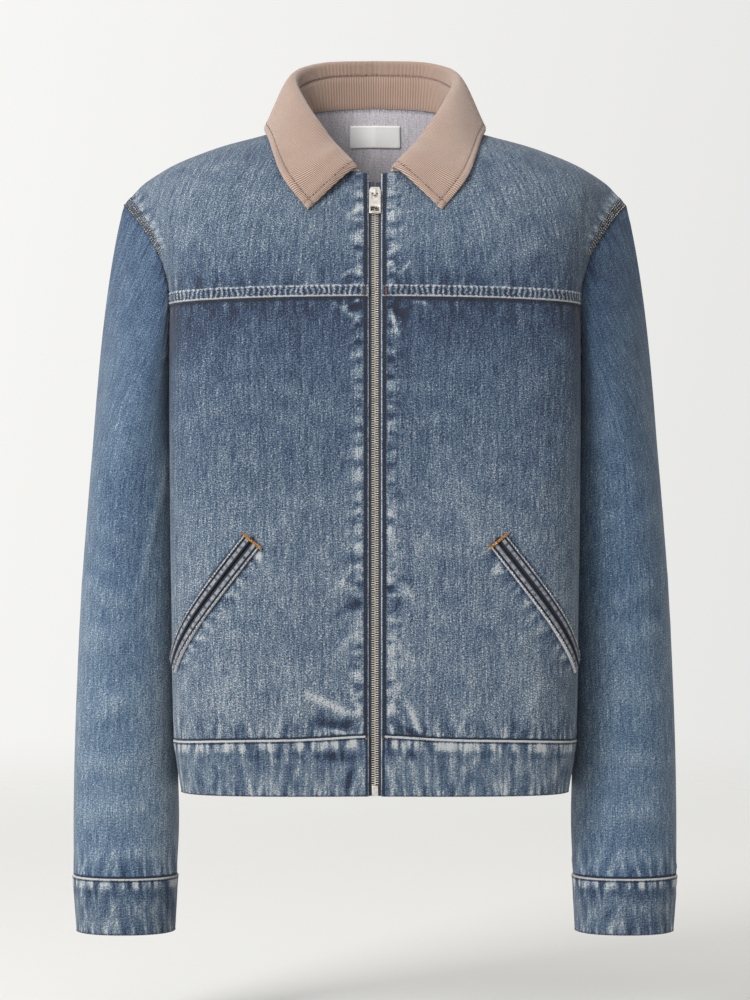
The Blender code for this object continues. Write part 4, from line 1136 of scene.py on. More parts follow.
def corduroy_finish():
    """Fine cords that run from the roll to the edge, pale on their pile and dark between."""
    material, tree, shader = plain_finish("corduroy_pile", (0.42, 0.30, 0.24), 0.92, sheen=0.35)
    cut = cut_place(tree)
    waver = noise_of(tree, cut, 180.0, (0.4, 0.6, 1.0))
    turns = sum_of(tree, (parts_of(tree, cut)["Y"], math.pi / WALE_PITCH), (waver, 0.6))
    wale = math_of(tree, "ABSOLUTE", math_of(tree, "SINE", turns))
    pile = math_of(tree, "POWER", wale, 0.6)
    nap = noise_of(tree, cut, 1500.0, (1.0, 1.0, 1.0), 2.0, 0.7)
    cloud = noise_of(tree, object_place(tree), 38.0, detail=3.0)
    terms = (pile, 1.15), (nap, 0.30), (painted(tree, "tone"), 0.45), (cloud, 0.22)
    pale = sum_of(tree, *terms, base=-0.875)
    link(tree, shades(tree, pale, CORD_SHADES), shader.inputs["Base Color"])
    raised(tree, shader, sum_of(tree, (pile, 1.0), (nap, 0.35)), 0.00050, 0.9)
    return material


def plain_weave_finish(name, dark, pale, pitch):
    """Narrow woven tape or label: threads over and under each other."""
    material, tree, shader = plain_finish(name, pale, 0.75, sheen=0.05)
    place = object_place(tree)
    parts = parts_of(tree, place)
    over, under = (
        math_of(tree, "SINE", sum_of(tree, (parts[axis], 2 * math.pi / pitch))) for axis in "XZ"
    )
    check = math_of(tree, "MULTIPLY", over, under)
    fray = noise_of(tree, place, 900.0)
    shade = sum_of(tree, (check, 0.25), (fray, 0.6), base=0.2)
    link(tree, shades(tree, shade, ((0.0, dark), (1.0, pale))), shader.inputs["Base Color"])
    raised(tree, shader, check, 0.0001, 0.6)
    return material


def thread_finish(name, dark, pale):
    """Sewing thread: two plies, faded here and there."""
    material, tree, shader = plain_finish(name, pale, 0.6, sheen=0.1)
    place = object_place(tree)
    faded = noise_of(tree, place, 260.0, detail=3.0)
    ply = noise_of(tree, place, 2600.0, detail=1.0)
    shade = sum_of(tree, (faded, 1.3), (ply, 0.5), base=-0.45)
    link(tree, shades(tree, shade, ((0.0, dark), (1.0, pale))), shader.inputs["Base Color"])
    raised(tree, shader, ply, 0.0001, 0.5)
    return material


def metal_finish(name, colour, tarnish, roughness):
    """Plated zip metal, polished by use, with faint scratches and dull hollows."""
    material, tree, shader = plain_finish(name, colour, roughness, metallic=1.0)
    place = object_place(tree)
    scratch = noise_of(tree, place, 2200.0, (1.0, 1.0, 0.10), 3.0, 0.7)
    dull = noise_of(tree, place, 350.0, detail=3.0)
    link(tree, shades(tree, dull, ((0.25, tarnish), (0.65, colour))), shader.inputs["Base Color"])
    rough = sum_of(tree, (dull, 0.20), (scratch, 0.18), base=roughness - 0.15)
    link(tree, rough, shader.inputs["Roughness"])
    raised(tree, shader, scratch, 0.00003, 0.5)
    return material


# ---------------------------------------------------------------- sewing


def only(obj):
    """Leaves just this object selected and active."""
    bpy.ops.object.select_all(action="DESELECT")
    obj.select_set(True)
    bpy.context.view_layer.objects.active = obj


def modelled_points(obj):
    """A modelled pattern piece as points and faces. The object itself goes."""
    points = np.array([v.co for v in obj.data.vertices])
    faces = [list(p.vertices) for p in obj.data.polygons]
    bpy.data.objects.remove(obj)
    return points, faces


def stitch_pattern():
    """One stitch, 1 long, 1 wide and 1 high: a rounded bar that dips at both ends."""
    bpy.ops.object.select_all(action="DESELECT")
    lying = (0, math.pi / 2, 0)
    bpy.ops.mesh.primitive_cylinder_add(vertices=5, radius=0.5, depth=0.62, rotation=lying)
    stitch = bpy.context.object
    bpy.ops.object.transform_apply(location=True, rotation=True, scale=True)
    bpy.ops.object.mode_set(mode="EDIT")
    bpy.ops.mesh.select_mode(type="FACE")
    bpy.ops.mesh.select_all(action="DESELECT")
    bpy.ops.object.mode_set(mode="OBJECT")
    for face in stitch.data.polygons:
        face.select = abs(face.normal.x) > 0.9
    bpy.ops.object.mode_set(mode="EDIT")
    bpy.ops.mesh.extrude_region_shrink_fatten(TRANSFORM_OT_shrink_fatten={"value": -0.19})
    bpy.ops.object.mode_set(mode="OBJECT")
    for vertex in stitch.data.vertices:
        if abs(vertex.co.x) > 0.4:
            vertex.co.y *= 0.55
            vertex.co.z = vertex.co.z * 0.5 - 0.35
    return modelled_points(stitch)


def tooth_pattern():
    """One zip tooth, in millimetres: a bar with a rounded head that reaches past the middle."""
    bpy.ops.object.select_all(action="DESELECT")
    bpy.ops.mesh.primitive_cube_add(size=1.0)
    tooth = bpy.context.object
    tooth.scale = (3.5, 2.3, 0.68)
    tooth.location = (1.25, 0.0, 0.0)
    bpy.ops.object.transform_apply(location=True, rotation=True, scale=True)
    bpy.ops.object.mode_set(mode="EDIT")
    bpy.ops.mesh.select_all(action="SELECT")
    bpy.ops.mesh.bevel(offset=0.18, segments=1, affect="EDGES")
    bpy.ops.object.mode_set(mode="OBJECT")
    for vertex in tooth.data.vertices:
        if vertex.co.x < 0.4:
            vertex.co.z *= 0.72
            vertex.co.y *= 0.85
    return modelled_points(tooth)


def placed_copies(name, pattern, places, material, smooth=True):
    """One mesh from many copies of a pattern. Each place is an origin and three axes."""
    points, faces = pattern
    count = len(points)
    all_points = [origin + points @ axes for origin, axes in places]
    firsts = range(0, count * len(places), count)
    all_faces = [[first + i for i in face] for first in firsts for face in faces]
    mesh = bpy.data.meshes.new(name)
    mesh.from_pydata(np.concatenate(all_points).tolist(), [], all_faces)
    mesh.materials.append(material)
    if smooth:
        mesh.shade_smooth()
    return placed(name, mesh)


Thread = namedtuple("Thread", "pitch length width height")
TOPSTITCH = Thread(0.0034, 0.0029, 0.00072, 0.00052)
FINE_STITCH = Thread(0.0026, 0.0022, 0.00055, 0.00042)
THICK_STITCH = Thread(0.0030, 0.0029, 0.00110, 0.00060)
BAR_STITCH = Thread(0.00055, 0.0022, 0.00062, 0.00060)
STITCH_LIFT = 0.12  # share of a stitch's height that its middle stands above the cloth
BAR_LIFT = 0.3
BAR_SLANT = 0.18


def stitch_places(line, out, thread):
    """Where the stitches of one row lie. Each follows its line, and sits in the cloth."""
    total = lengths_along(line)[-1]
    count = max(1, round(total / thread.pitch))
    middles = (np.arange(count) + 0.5) * total / count
    here = at_lengths(line, middles)
    ahead = at_lengths(line, np.minimum(middles + thread.length / 2, total))
    behind = at_lengths(line, np.maximum(middles - thread.length / 2, 0))
    run = lengths_along(line)
    outward = unit(np.stack([np.interp(middles, run, out[:, k]) for k in range(3)], axis=1))
    forward = unit(ahead - behind)
    sideways = unit(np.cross(outward, forward))
    raised_line = here + outward * thread.height * STITCH_LIFT
    sized = (forward * thread.length, sideways * thread.width, outward * thread.height)
    return list(zip(raised_line, np.stack(sized, axis=1)))


def bar_places(start, end, out):
    """A bartack: close stitches laid across a short bar."""
    forward = unit(end - start)
    sideways = unit(np.cross(out, forward))
    slant = sideways + forward * BAR_SLANT
    length, width, height = BAR_STITCH.length, BAR_STITCH.width, BAR_STITCH.height
    axes = np.array([slant * length, -forward * width, out * height])
    runs = np.arange(0, float(np.linalg.norm(end - start)), BAR_STITCH.pitch)
    return [(start + forward * run + out * height * BAR_LIFT, axes) for run in runs]


def sewn(name, rows, material, slot):
    """Sewing that rides on the jacket: each row is a list of places."""
    obj = placed_copies(name, STITCH, [place for row in rows for place in row], material)
    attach(obj, JACKET)


def plated(node, name, material, body, width):
    """A zip part copied from its solid, with its edges rounded as cast metal's are."""
    obj = placed(name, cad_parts[node].data.copy())
    obj.data.materials.clear()
    obj.data.materials.append(material)
    only(obj)
    bpy.ops.object.mode_set(mode="EDIT")
    bpy.ops.mesh.select_mode(type="VERT")
    bpy.ops.mesh.select_all(action="SELECT")
    bpy.ops.mesh.remove_doubles(threshold=0.00001)
    bpy.ops.mesh.dissolve_limited(angle_limit=math.radians(3))
    bpy.ops.object.mode_set(mode="OBJECT")
    rounding = obj.modifiers.new("rounded", "BEVEL")
    rounding.width = width
    rounding.segments = 3
    rounding.limit_method = "ANGLE"
    rounding.angle_limit = math.radians(35)
    bpy.ops.object.modifier_apply(modifier=rounding.name)
    obj.data.shade_smooth()
    obj.data.set_sharp_from_angle(angle=math.radians(40))
    fitted(obj, body, node)


# ---------------------------------------------------------------- the pieces' cloth

ALL_EDGES = ("low", "high", "start", "end")
# Tone of the painted shadow lines at seams, in the pocket slits and beside the welts
SEAM_SHADOW = -0.60  # the shade of the shadow line beside a seam
# Tone of the painted shade along the neckline and shoulder seam, under the collar and beside the
# seam
NECK_AND_SHOULDER_SHADE = 0.06
PALE_RIM = 0.92  # the shade of a folded edge
WORN_WHITE = 1.20  # the shade of the fold that a seam's pressing wears most

# Seeds of each piece's random puckers. A left piece adds its shift.
FRONT_SEED = 101
YOKE_SEED = 201
BACK_SEED = 301
WAISTBAND_SEED = 401
SLEEVE_SEED = 501
CUFF_SEED = 601
WELT_SEED = 701
LEFT_SHIFT = 50

# Puckers beside a seam, in metres: how far apart and how far they reach, how high and how pale
# they stand, and how much of their spacing they fill and how far they lean
Puckers = namedtuple("Puckers", "spacing reach height pale fill lean", defaults=(0.28, 0.5))
ZIP_PUCKERS = Puckers(0.0098, 0.0130, 0.00050, 0.12, 0.20, 0.7)
FRONT_HEM_PUCKERS = Puckers(0.0110, 0.0150, 0.00075, 0.26, 0.22)
FRONT_TOP_PUCKERS = Puckers(0.0090, 0.0120, 0.00055, 0.20, 0.16, 0.8)
YOKE_PUCKERS = Puckers(0.0100, 0.0170, 0.00050, 0.10, 0.20, 0.7)
ARMHOLE_PUCKERS = Puckers(0.0100, 0.0150, 0.00050, 0.12)
BACK_HEM_PUCKERS = Puckers(0.0100, 0.0150, 0.00075, 0.18)
SLEEVE_TOP_PUCKERS = Puckers(0.0105, 0.0190, 0.00080, 0.12, 0.22)
SLEEVE_END_PUCKERS = Puckers(0.0080, 0.0200, 0.00100, 0.24, 0.22)

WELT_ROWS, WELT_COLUMNS = 15, 150
WORN_PATCH_OFF = 0.0088  # how far beside the zip the worn patches lie

def zip_edge_wear(sheet, edge, seed, crossing=0.0):
    """The folded edge beside the zip: a pale rim, a dark stitched strip, then worn patches."""
    off, along_edge = sheet.off(edge), sheet.beside(edge)
    sheet.gather(edge, ZIP_PUCKERS, seed + 1)
    apart = np.abs(off - WORN_PATCH_OFF)
    gap = gathers(along_edge, apart, 0.0150, 0.0080, seed, 0.16, 0.25)
    band = bell((apart / 0.0036) ** 2)
    sheet.tone += band * (0.26 - 0.66 * gap) * (1 - crossing)
    sheet.relief += band * (0.00045 - 0.00095 * gap)
    sheet.tone -= 0.22 * bell((off - WORN_PATCH_OFF + 0.0052) / 0.0011) * (0.4 + gap)
    sheet.drawn += 0.36 * bell((off - WORN_PATCH_OFF) / 0.009)
    sheet.line(edge, 0.0013, 0.0040, -0.45, share=1 - crossing)
    sheet.line(edge, 0.0, 0.0009, PALE_RIM)
    for mask in (sheet.drawn, sheet.pulled, sheet.roped):
        mask *= rising(off - 0.0042, 0.001)


def pocket_spot(run, across):
    """A place on the pocket as a distance along the front from the zip edge, and a height."""
    start = distance_at_x(POCKET_TOP_X, POCKET_TOP_Z)
    distance = start + run * math.cos(POCKET_SLANT) + across * math.sin(POCKET_SLANT)
    return distance, POCKET_TOP_Z - run * math.sin(POCKET_SLANT) + across * math.cos(POCKET_SLANT)


def pocket_place(sheet, right):
    """Each point's place along the pocket from its top end, and across it, up from its slit."""
    start = distance_at_x(POCKET_TOP_X, POCKET_TOP_Z)
    over = (sheet.run if right else sheet.off("end")) - start
    down = POCKET_TOP_Z - sheet.grid[..., 2]
    along_slit = over * math.cos(POCKET_SLANT) + down * math.sin(POCKET_SLANT)
    across = over * math.sin(POCKET_SLANT) - down * math.cos(POCKET_SLANT)
    return along_slit, across


def pocket_wear(sheet, right, seed):
    """The slit between the welts, painted dark as shade, painted shadow lines beside the welts, and
    the puckers that the welts' stitching draws up.
    """
    along_slit, across = pocket_place(sheet, right)
    begins = rising(along_slit + 0.001, 0.002)
    ends = begins * rising(POCKET_LENGTH - along_slit, 0.004)
    outer = WELT_SLIT / 2 + WELT_WIDTH
    slit = bell(across / 0.0030) * ends
    sheet.relief -= 0.0010 * slit
    # Painted shade in the slit between the welts
    sheet.tone += (SEAM_SHADOW - sheet.tone) * np.clip(2 * slit, 0, 1)
    below, above = -across - outer, across - outer
    for off, reach, pale, number in ((below, 0.0100, 0.62, 0), (above, 0.0050, 0.20, 1)):
        outside = rising(off, 0.0008) * ends
        ridge = gathers(along_slit, np.maximum(off, 0), 0.0086, reach, seed + number, 0.30, 0.5)
        sheet.relief += outside * 0.0007 * (ridge - 0.4 * bell(off / reach))
        sheet.tone += outside * pale * (1.5 * ridge - 0.5 * bell(off / reach))
        # Painted shadow line beside each welt
        sheet.tone += SEAM_SHADOW * bell((off - 0.0006) / 0.0012) * ends


def felled(sheet, edge, share=1.0):
    """A felled seam's strip, raised off the cloth, with a soft step."""
    step = (FELLED_WIDTH + FELLED_RISE - sheet.off(edge)) / FELLED_RISE
    sheet.rise += FELLED_RISE * np.clip(step, 0, 1) * share


def zip_and_side(right):
    return ("start", "end") if right else ("end", "start")


def front_sheet(lower, right, seed):
    grid = handed(lower, right)
    sheet = Sheet(f"front_{side_of(right)}_cloth", grid, DENIM)
    zip_edge, side_edge = zip_and_side(right)
    sheet.plumb += 0 if right else grid.shape[1] - 1
    sheet.fold()
    sheet.gather("low", FRONT_HEM_PUCKERS, seed)
    sheet.gather("high", FRONT_TOP_PUCKERS, seed + 7)
    # Painted shadow under the yoke's raised seam strip, and a painted shadow line at the waistband
    # seam
    sheet.line("high", 0.0, 0.0020, -0.30, blend=0.0022, share=0.9)
    sheet.line("low", 0.0, 0.0012, SEAM_SHADOW, blend=0.0008)
    sheet.pulled += 0.42 * bell(sheet.off("high") / 0.016) + 0.62 * bell(sheet.off("low") / 0.017)
    # Painted shade: darker towards the side seam, where the front turns away beside the sleeve,
    # more on the left
    sheet.tone -= (0.32 if right else 0.42) * bell(sheet.off(side_edge) / 0.030)
    pocket_wear(sheet, right, seed + 11)
    zip_edge_wear(sheet, zip_edge, seed + 23)
    sheet.soften(("low", "high", zip_edge))
    return sheet


def armhole_strip(sheet, edge, seed, share=1.0):
    """The felled seam over the shoulder, dark between its rows, with worn cloth beside it."""
    shown = share * rising(sheet.grid[..., 2] - SHOULDER_SEAM_END, 0.012)
    felled(sheet, edge, shown)
    before = sheet.tone.copy()
    sheet.rope(edge, 0.0060, seed)
    sheet.line(edge, 0.0008, FELLED_WIDTH - 0.0006, 0.12, share=0.85)
    off = sheet.off(edge)
    sheet.tone += 0.30 * bell((off - FELLED_WIDTH - 0.0032) / 0.0026)
    sheet.drawn += 0.55 * bell((off - FELLED_WIDTH) / 0.008) * shown
    sheet.line(edge, 0.0, 0.0009, -0.40)
    sheet.tone = before + (sheet.tone - before) * shown


def yoke_sheet(upper, right, seed):
    grid = handed(upper, right)
    sheet = Sheet(f"front_yoke_{side_of(right)}_cloth", grid, DENIM)
    zip_edge, arm_edge = zip_and_side(right)
    sheet.plumb += 0 if right else grid.shape[1] - 1
    sheet.fold()
    sheet.gather(arm_edge, ARMHOLE_PUCKERS, seed)
    sheet.gather("low", YOKE_PUCKERS, seed + 4)
    felled(sheet, "low")
    sheet.line("low", 0.0, FELLED_WIDTH, 0.40, share=0.7)
    sheet.rope("low", 0.0070, seed + 3, base=0.02)
    sheet.line("low", FELLED_WIDTH - 0.0014, FELLED_WIDTH + 0.0002, 0.90, share=0.85)
    above = sheet.off("low") - FELLED_WIDTH
    past_edge = rising(sheet.off("low") - 0.0008, 0.0006)
    sheet.roped += rising(0.0004 - above, 0.001) * past_edge
    sheet.pulled += 0.40 * bell(above / 0.012) * (above > 0)
    armhole_strip(sheet, arm_edge, seed + 5)
    sheet.line("low", 0.0, 0.0010, WORN_WHITE)
    # Painted shade along the neckline and shoulder seam
    sheet.line("high", 0.0, 0.0015, NECK_AND_SHOULDER_SHADE, share=0.9)
    crossing = rising(FELLED_WIDTH + 0.0004 - sheet.off("low"), 0.001)
    zip_edge_wear(sheet, zip_edge, seed + 29, crossing)
    sheet.soften(("low", "high", zip_edge, arm_edge))
    return sheet


def back_sheet(lower, upper):
    half = np.concatenate([lower, upper[1:]])
    whole = np.concatenate([half[:, ::-1], mirrored(half)[:, 1:]], axis=1)
    sheet = Sheet("back_cloth", whole, DENIM)
    sheet.plumb += whole.shape[1] // 2
    sheet.fold()
    sheet.gather("low", BACK_HEM_PUCKERS, BACK_SEED)
    # Painted shadow line at the waistband seam
    sheet.line("low", 0.0, 0.0012, SEAM_SHADOW, blend=0.0008)
    sheet.pulled += 0.62 * bell(sheet.off("low") / 0.017)
    sheet.tone += 0.13 * bell((whole[..., 2] + 0.178) / 0.040)
    above_underarm = rising(whole[..., 2] - YOKE_Z, 0.004)
    for number, edge in enumerate(("start", "end")):
        armhole_strip(sheet, edge, BACK_SEED + 10 + number, above_underarm)
    # Painted shade along the neckline and shoulder seam
    sheet.line("high", 0.0, 0.0015, NECK_AND_SHOULDER_SHADE, share=0.9)
    sheet.soften(ALL_EDGES)
    return sheet


def band_edges(sheet, strip, seed):
    """Waistband and cuffs: a pale strip with dark nicks under their seam, and a stitched fold."""
    run, from_seam = sheet.run, sheet.off("high")
    sheet.rise += BAND_RISE
    pale_strip = rising(strip - from_seam, 0.0030)
    sheet.tone += 0.03 + 0.15 * pale_strip
    sheet.relief += 0.00015 * pale_strip
    sheet.pulled += 0.30 + 0.46 * pale_strip
    apart = np.abs(from_seam - strip - 0.0022)
    hollows = gathers(run, apart, 0.0240, 0.0030, seed + 1, 0.24, 0.5)
    sheet.tone -= 0.36 * hollows
    sheet.relief -= 0.0006 * hollows
    streaks = gathers(run, from_seam, 0.0125, 0.0330, seed + 2, 0.16, 0.30)
    below = rising(from_seam - strip, 0.004)
    sheet.tone += below * 0.22 * (streaks - 0.3 * bell(from_seam / 0.033))
    sheet.relief += below * 0.00040 * streaks
    sheet.pulled += 0.40 * bell(sheet.off("low") / 0.007)
    sheet.line("high", 0.0013, 0.0030, -0.10, share=0.75)
    sheet.line("high", 0.0, 0.0012, WORN_WHITE)
    sheet.line("low", 0.0, 0.0010, 0.22, share=0.8)
    sheet.pulled *= rising(from_seam - 0.0010, 0.001)


def waistband_sheet():
    heights = heights_between(HEM_Z, BAND_Z, 0.0028)
    front = np.array([row_of(front_line(z), FRONT_COLUMNS) for z in heights])
    back = np.array([row_of(back_line(z), BACK_COLUMNS) for z in heights])
    half = np.concatenate([front, back[:, ::-1][:, 1:]], axis=1)
    whole = np.concatenate([half, mirrored(half)[:, ::-1][:, 1:]], axis=1)
    sheet = Sheet("waistband_cloth", settled(whole), DENIM)
    band_edges(sheet, 0.0115, WAISTBAND_SEED)
    fronts = len(FRONT_COLUMNS)
    sheet.plumb[fronts:] = whole.shape[1] // 2
    sheet.plumb[-fronts:] = whole.shape[1] - 1
    sheet.fold()
    for edge in ("start", "end"):
        sheet.line(edge, 0.0, 0.0009, 0.95)
        sheet.line(edge, 0.0013, 0.0024, -0.20)
    sheet.soften(ALL_EDGES)
    return sheet


def two_plumb_lines(turns):
    """For each column of a sleeve, the middle column of its front or back half."""
    middles = [int(np.argmin(np.abs(turns - turn))) for turn in (math.pi / 2, 3 * math.pi / 2)]
    return np.where(turns < math.pi, *middles)


def tube_sheet(part, grid, turns, right):
    """A sleeve or a cuff, closed round the arm."""
    name = f"{part}_{side_of(right)}_cloth"
    sheet = Sheet(name, handed(grid, right), DENIM, wrap=True, sleeve=True)
    sheet.plumb = two_plumb_lines(turns[::-1] if right else turns)
    return sheet


def sleeve_sheet(grid, turns, right, seed):
    sheet = tube_sheet("sleeve", grid, turns, right)
    sheet.fold()
    sheet.gather("high", SLEEVE_TOP_PUCKERS, seed)
    sheet.gather("low", SLEEVE_END_PUCKERS, seed + 1)
    sheet.line("high", 0.0, 0.0014, 0.20, share=0.7)
    # Painted light: the sleeve is painted paler on its outer side and on the side turned to the
    # body, most on the left sleeve's inner side, which the key light leaves in shade
    sideways = sheet.normals[..., 0] * (1 if right else -1)
    outer_side_painted_light = rising(sideways - 0.35, 0.6)
    inner_side_painted_light = rising(-sideways - 0.15, 0.6)
    sheet.tone += 0.06 * outer_side_painted_light + (0.06 if right else 0.20) * inner_side_painted_light
    sheet.pulled += 0.50 * bell(sheet.off("low") / 0.024) + 0.20 * bell(sheet.off("high") / 0.020)
    # Painted shadow line at the cuff seam
    sheet.line("low", 0.0, 0.0012, SEAM_SHADOW, blend=0.0008)
    sheet.soften(("low", "high"))
    return sheet


def cuff_sheet(grid, turns, right, seed):
    sheet = tube_sheet("cuff", grid, turns, right)
    band_edges(sheet, 0.0105, seed)
    sheet.soften(("low", "high"))
    return sheet


def welt_sheet(part, low, high, right, seed):
    rows = []
    for across in np.linspace(low, high, WELT_ROWS):
        runs = np.linspace(0, POCKET_LENGTH, WELT_COLUMNS)
        spots = [pocket_spot(run, across) for run in runs]
        rows.append([at_lengths(front_line(z), [distance])[0] for distance, z in spots])
    name = f"pocket_welt_{part}_{side_of(right)}_cloth"
    sheet = Sheet(name, handed(np.array(rows), right), WELT_RISE)
    sheet.rise += LAID_GAP + WELT_RISE
    outer, inner = ("high", "low") if part == "upper" else ("low", "high")
    marks = gathers(sheet.run, sheet.off(outer) * 0 + 1e-6, 0.0066, 1.0, seed, 0.16, 0.2)
    middle = bell((sheet.off(outer) - 0.0045) / 0.0018)
    sheet.tone += (0.64 - sheet.tone) - 0.50 * marks * middle
    sheet.relief += 0.0003 * (0.5 - marks) * middle
    sheet.relief -= 0.0007 * bell((sheet.off(outer) - 0.0023) / 0.0006)
    # Painted shade in the groove pressed beside the welt's outer edge
    sheet.line(outer, 0.0017, 0.0030, -0.4, blend=0.0003)
    sheet.line(outer, 0.0, 0.0014, PALE_RIM, blend=0.0003)
    # Painted shade along the welt's inner edge, at the slit
    sheet.line(inner, 0.0, 0.0013, -0.4, blend=0.0005)
    sheet.soften(ALL_EDGES)
    return sheet


# ---------------------------------------------------------------- collar and label

COLLAR_SHARES = 130
WALE_SKEW = 0.20  # how far the cords lean from the collar's own lines, at its points
EDGE_STITCH = 0.0064  # how far in the collar's edge is stitched


def collar_sheets(drape):
    """The stand and the fall, right front end to left front end."""
    stand, fall = [], []
    for share in np.linspace(0, 1, COLLAR_SHARES):
        start, joint, rest = collar_path(share, drape)
        leaf = np.array([joint, *rest])
        fall.append(at_lengths(leaf, np.linspace(0, 1, 41) * lengths_along(leaf)[-1]))
        if share >= STAND_FROM_SHARE:
            stand.append([start + (joint - start) * t for t in np.linspace(-0.06, 1, 12)])
    sheets = []
    for name, half in (("collar_stand", stand), ("collar_fall", fall)):
        half = np.array(half)
        grid = np.concatenate([half, mirrored(half)[::-1][1:]])
        sheet = Sheet(name + "_cloth", grid, CORDUROY)
        middle = grid[:, grid.shape[1] // 2]
        from_back = lengths_along(middle) - lengths_along(middle)[-1] / 2
        lean = rising(np.abs(from_back), 0.10) * np.sign(from_back) * WALE_SKEW
        sheet.lengthwise = from_back[:, None] + lean[:, None] * (sheet.run - sheet.run[:, -1:] / 2)
        sheet.tone[:] = 0.50
        sheets.append(sheet)
    return sheets


def collar_wear(sheet, edges):
    """Pale, rounded edges, and the groove that the edge's stitching presses in, painted darker as
    shade.
    """
    for edge in edges:
        off = sheet.off(edge)
        sheet.relief -= 0.0006 * bell((off - EDGE_STITCH) / 0.0009)
        # Painted shade in the stitching's groove
        sheet.tone -= 0.30 * bell((off - EDGE_STITCH) / 0.0007)
        sheet.tone += 0.16 * bell(off / 0.0022)


def label_sheet(back_upper):
    columns = back_upper.transpose(1, 0, 2)[:14]
    rows = []
    for z in np.linspace(LABEL_TOP_Z - LABEL_HEIGHT, LABEL_TOP_Z, 24):
        half = np.array([on_grid(columns, x, z) for x in np.linspace(0, LABEL_WIDTH / 2, 24)])
        rows.append(np.concatenate([mirrored(half)[::-1], half[1:]]))
    grid = np.array(rows)
    sheet = Sheet("neck_label_cloth", grid, LABEL)
    sheet.grid = sheet.grid + sheet.normals * (DENIM + LAID_GAP + LABEL)
    sheet.relief += 0.0002 * bell(sheet.off("high") / 0.002)
    sheet.soften(ALL_EDGES, depth=0.0005)
    return sheet


# ---------------------------------------------------------------- sewing, row by row

# A row's edge, its distance in from it, its thread and stitch, and which of its points are sewn
Row = namedtuple("Row", "edge distance thread stitch where")
ARMHOLE_ROWS = (0.0015, 0.0038, 0.0060, 0.0081)
BARTACK_LENGTHS = (0.0008, 0.0092)  # where the yoke's bartacks start and end, up from its seam
POCKET_BAR_REACH = 0.0102


def stitched(sheet, rows):
    """Sews a piece's rows, each thread's in one mesh."""
    sewing = {}
    for row in map(Row._make, rows):
        line, out = sheet.edge_line(row.edge, row.distance)
        kept = row.where(line)
        sewing.setdefault(row.thread, []).append(stitch_places(line[kept], out[kept], row.stitch))
    for thread, places in sewing.items():
        sewn(sheet.name.replace("_cloth", f"_{thread}_stitches"), places, *THREADS[thread])


def all_along(line):
    return np.full(len(line), True)


def over_shoulder(line):
    return line[:, 2] > SHOULDER_SEAM_END


def right_of_zip(line):
    return (line[:, 0] > 0) & (line[:, 0] < 0.0150) & (line[:, 1] < 0)


def left_of_zip(line):
    return (line[:, 0] < 0) & (line[:, 0] > -0.0110) & (line[:, 1] < 0)


def armhole_rows(edge):
    return [(edge, distance, "ecru", THICK_STITCH, over_shoulder) for distance in ARMHOLE_ROWS]


def band_rows():
    places = ("high", 0.0018), ("low", 0.0006)
    return [(edge, distance, "brown", TOPSTITCH, all_along) for edge, distance in places]


def pocket_line(right, across, start_run, end_run):
    """A line along the pocket at an offset from its slit, with its outward directions."""
    line, out = [], []
    for run in np.linspace(start_run, end_run, 30):
        distance, z = pocket_spot(run, across)
        here, beyond = at_lengths(front_line(z), [distance, distance + 0.002])
        line.append(here)
        out.append(unit(np.cross(unit(beyond - here), np.array([0.0, 0.0, 1.0]))))
    line, out = np.array(line), np.array(out)
    return (line, out) if right else (mirrored(line), mirrored(out))


def pocket_sewing(right):
    """Pale rows round the welts, and an orange bartack at each pocket's upper end."""
    rise = LAID_GAP + WELT_RISE + 0.0005
    outer = WELT_SLIT / 2 + WELT_WIDTH
    rows, bars = [], []
    for across in (-outer + 0.0008, outer - 0.0008):
        line, out = pocket_line(right, across, 0.001, POCKET_LENGTH - 0.001)
        rows.append(stitch_places(line + out * rise, out, THICK_STITCH))
    sewn(f"pocket_{side_of(right)}_white_stitches", rows, *THREADS["pale"])
    for run in (0.0004, 0.0014):
        lift = pocket_line(right, 0.0, run, run + 0.0001)[1][0]
        low, high = (
            pocket_line(right, across, run, run + 0.0001)[0][0] + lift * rise
            for across in (-POCKET_BAR_REACH, POCKET_BAR_REACH)
        )
        bars.append(bar_places(low, high, lift))
    sewn(f"pocket_{side_of(right)}_bartacks", bars, *THREADS["orange"])


def yoke_bartacks(yokes):
    """Small upright bars where the yoke seam meets the zip."""
    bars = []
    for sheet, edge in yokes:
        line, out = sheet.edge_line(edge, 0.0042)
        up = line[:, 2] - line[0, 2]
        foot, head = (int(np.argmin(np.abs(up - length))) for length in BARTACK_LENGTHS)
        lift = out[foot] * 0.0004
        bars.append(bar_places(line[foot] + lift, line[head] + lift, out[foot]))
    sewn("yoke_bartacks", bars, *THREADS["rust"])


# ---------------------------------------------------------------- zip


def tape_sheet(line, right):
    """The tape behind a front's edge, with its inner edge between the teeth."""
    grid = []
    across = np.linspace(TAPE_BEAD_X, TAPE_OUTER_X, TAPE_COLUMNS)
    for z in np.linspace(ZIP_END_Z, ZIP_TOP_Z, TAPE_ROWS):
        behind = -line.outward(z)[0] * TAPE_DEPTH
        row = np.array([line.point(x, z) + behind for x in across])
        row[row[:, 0] < FRONT_EDGE_X, 1:] = (line.point(FRONT_EDGE_X, z) + behind)[1:]
        grid.append(row)
    return Sheet(f"zip_tape_{side_of(right)}_cloth", handed(np.array(grid), right), TAPE)


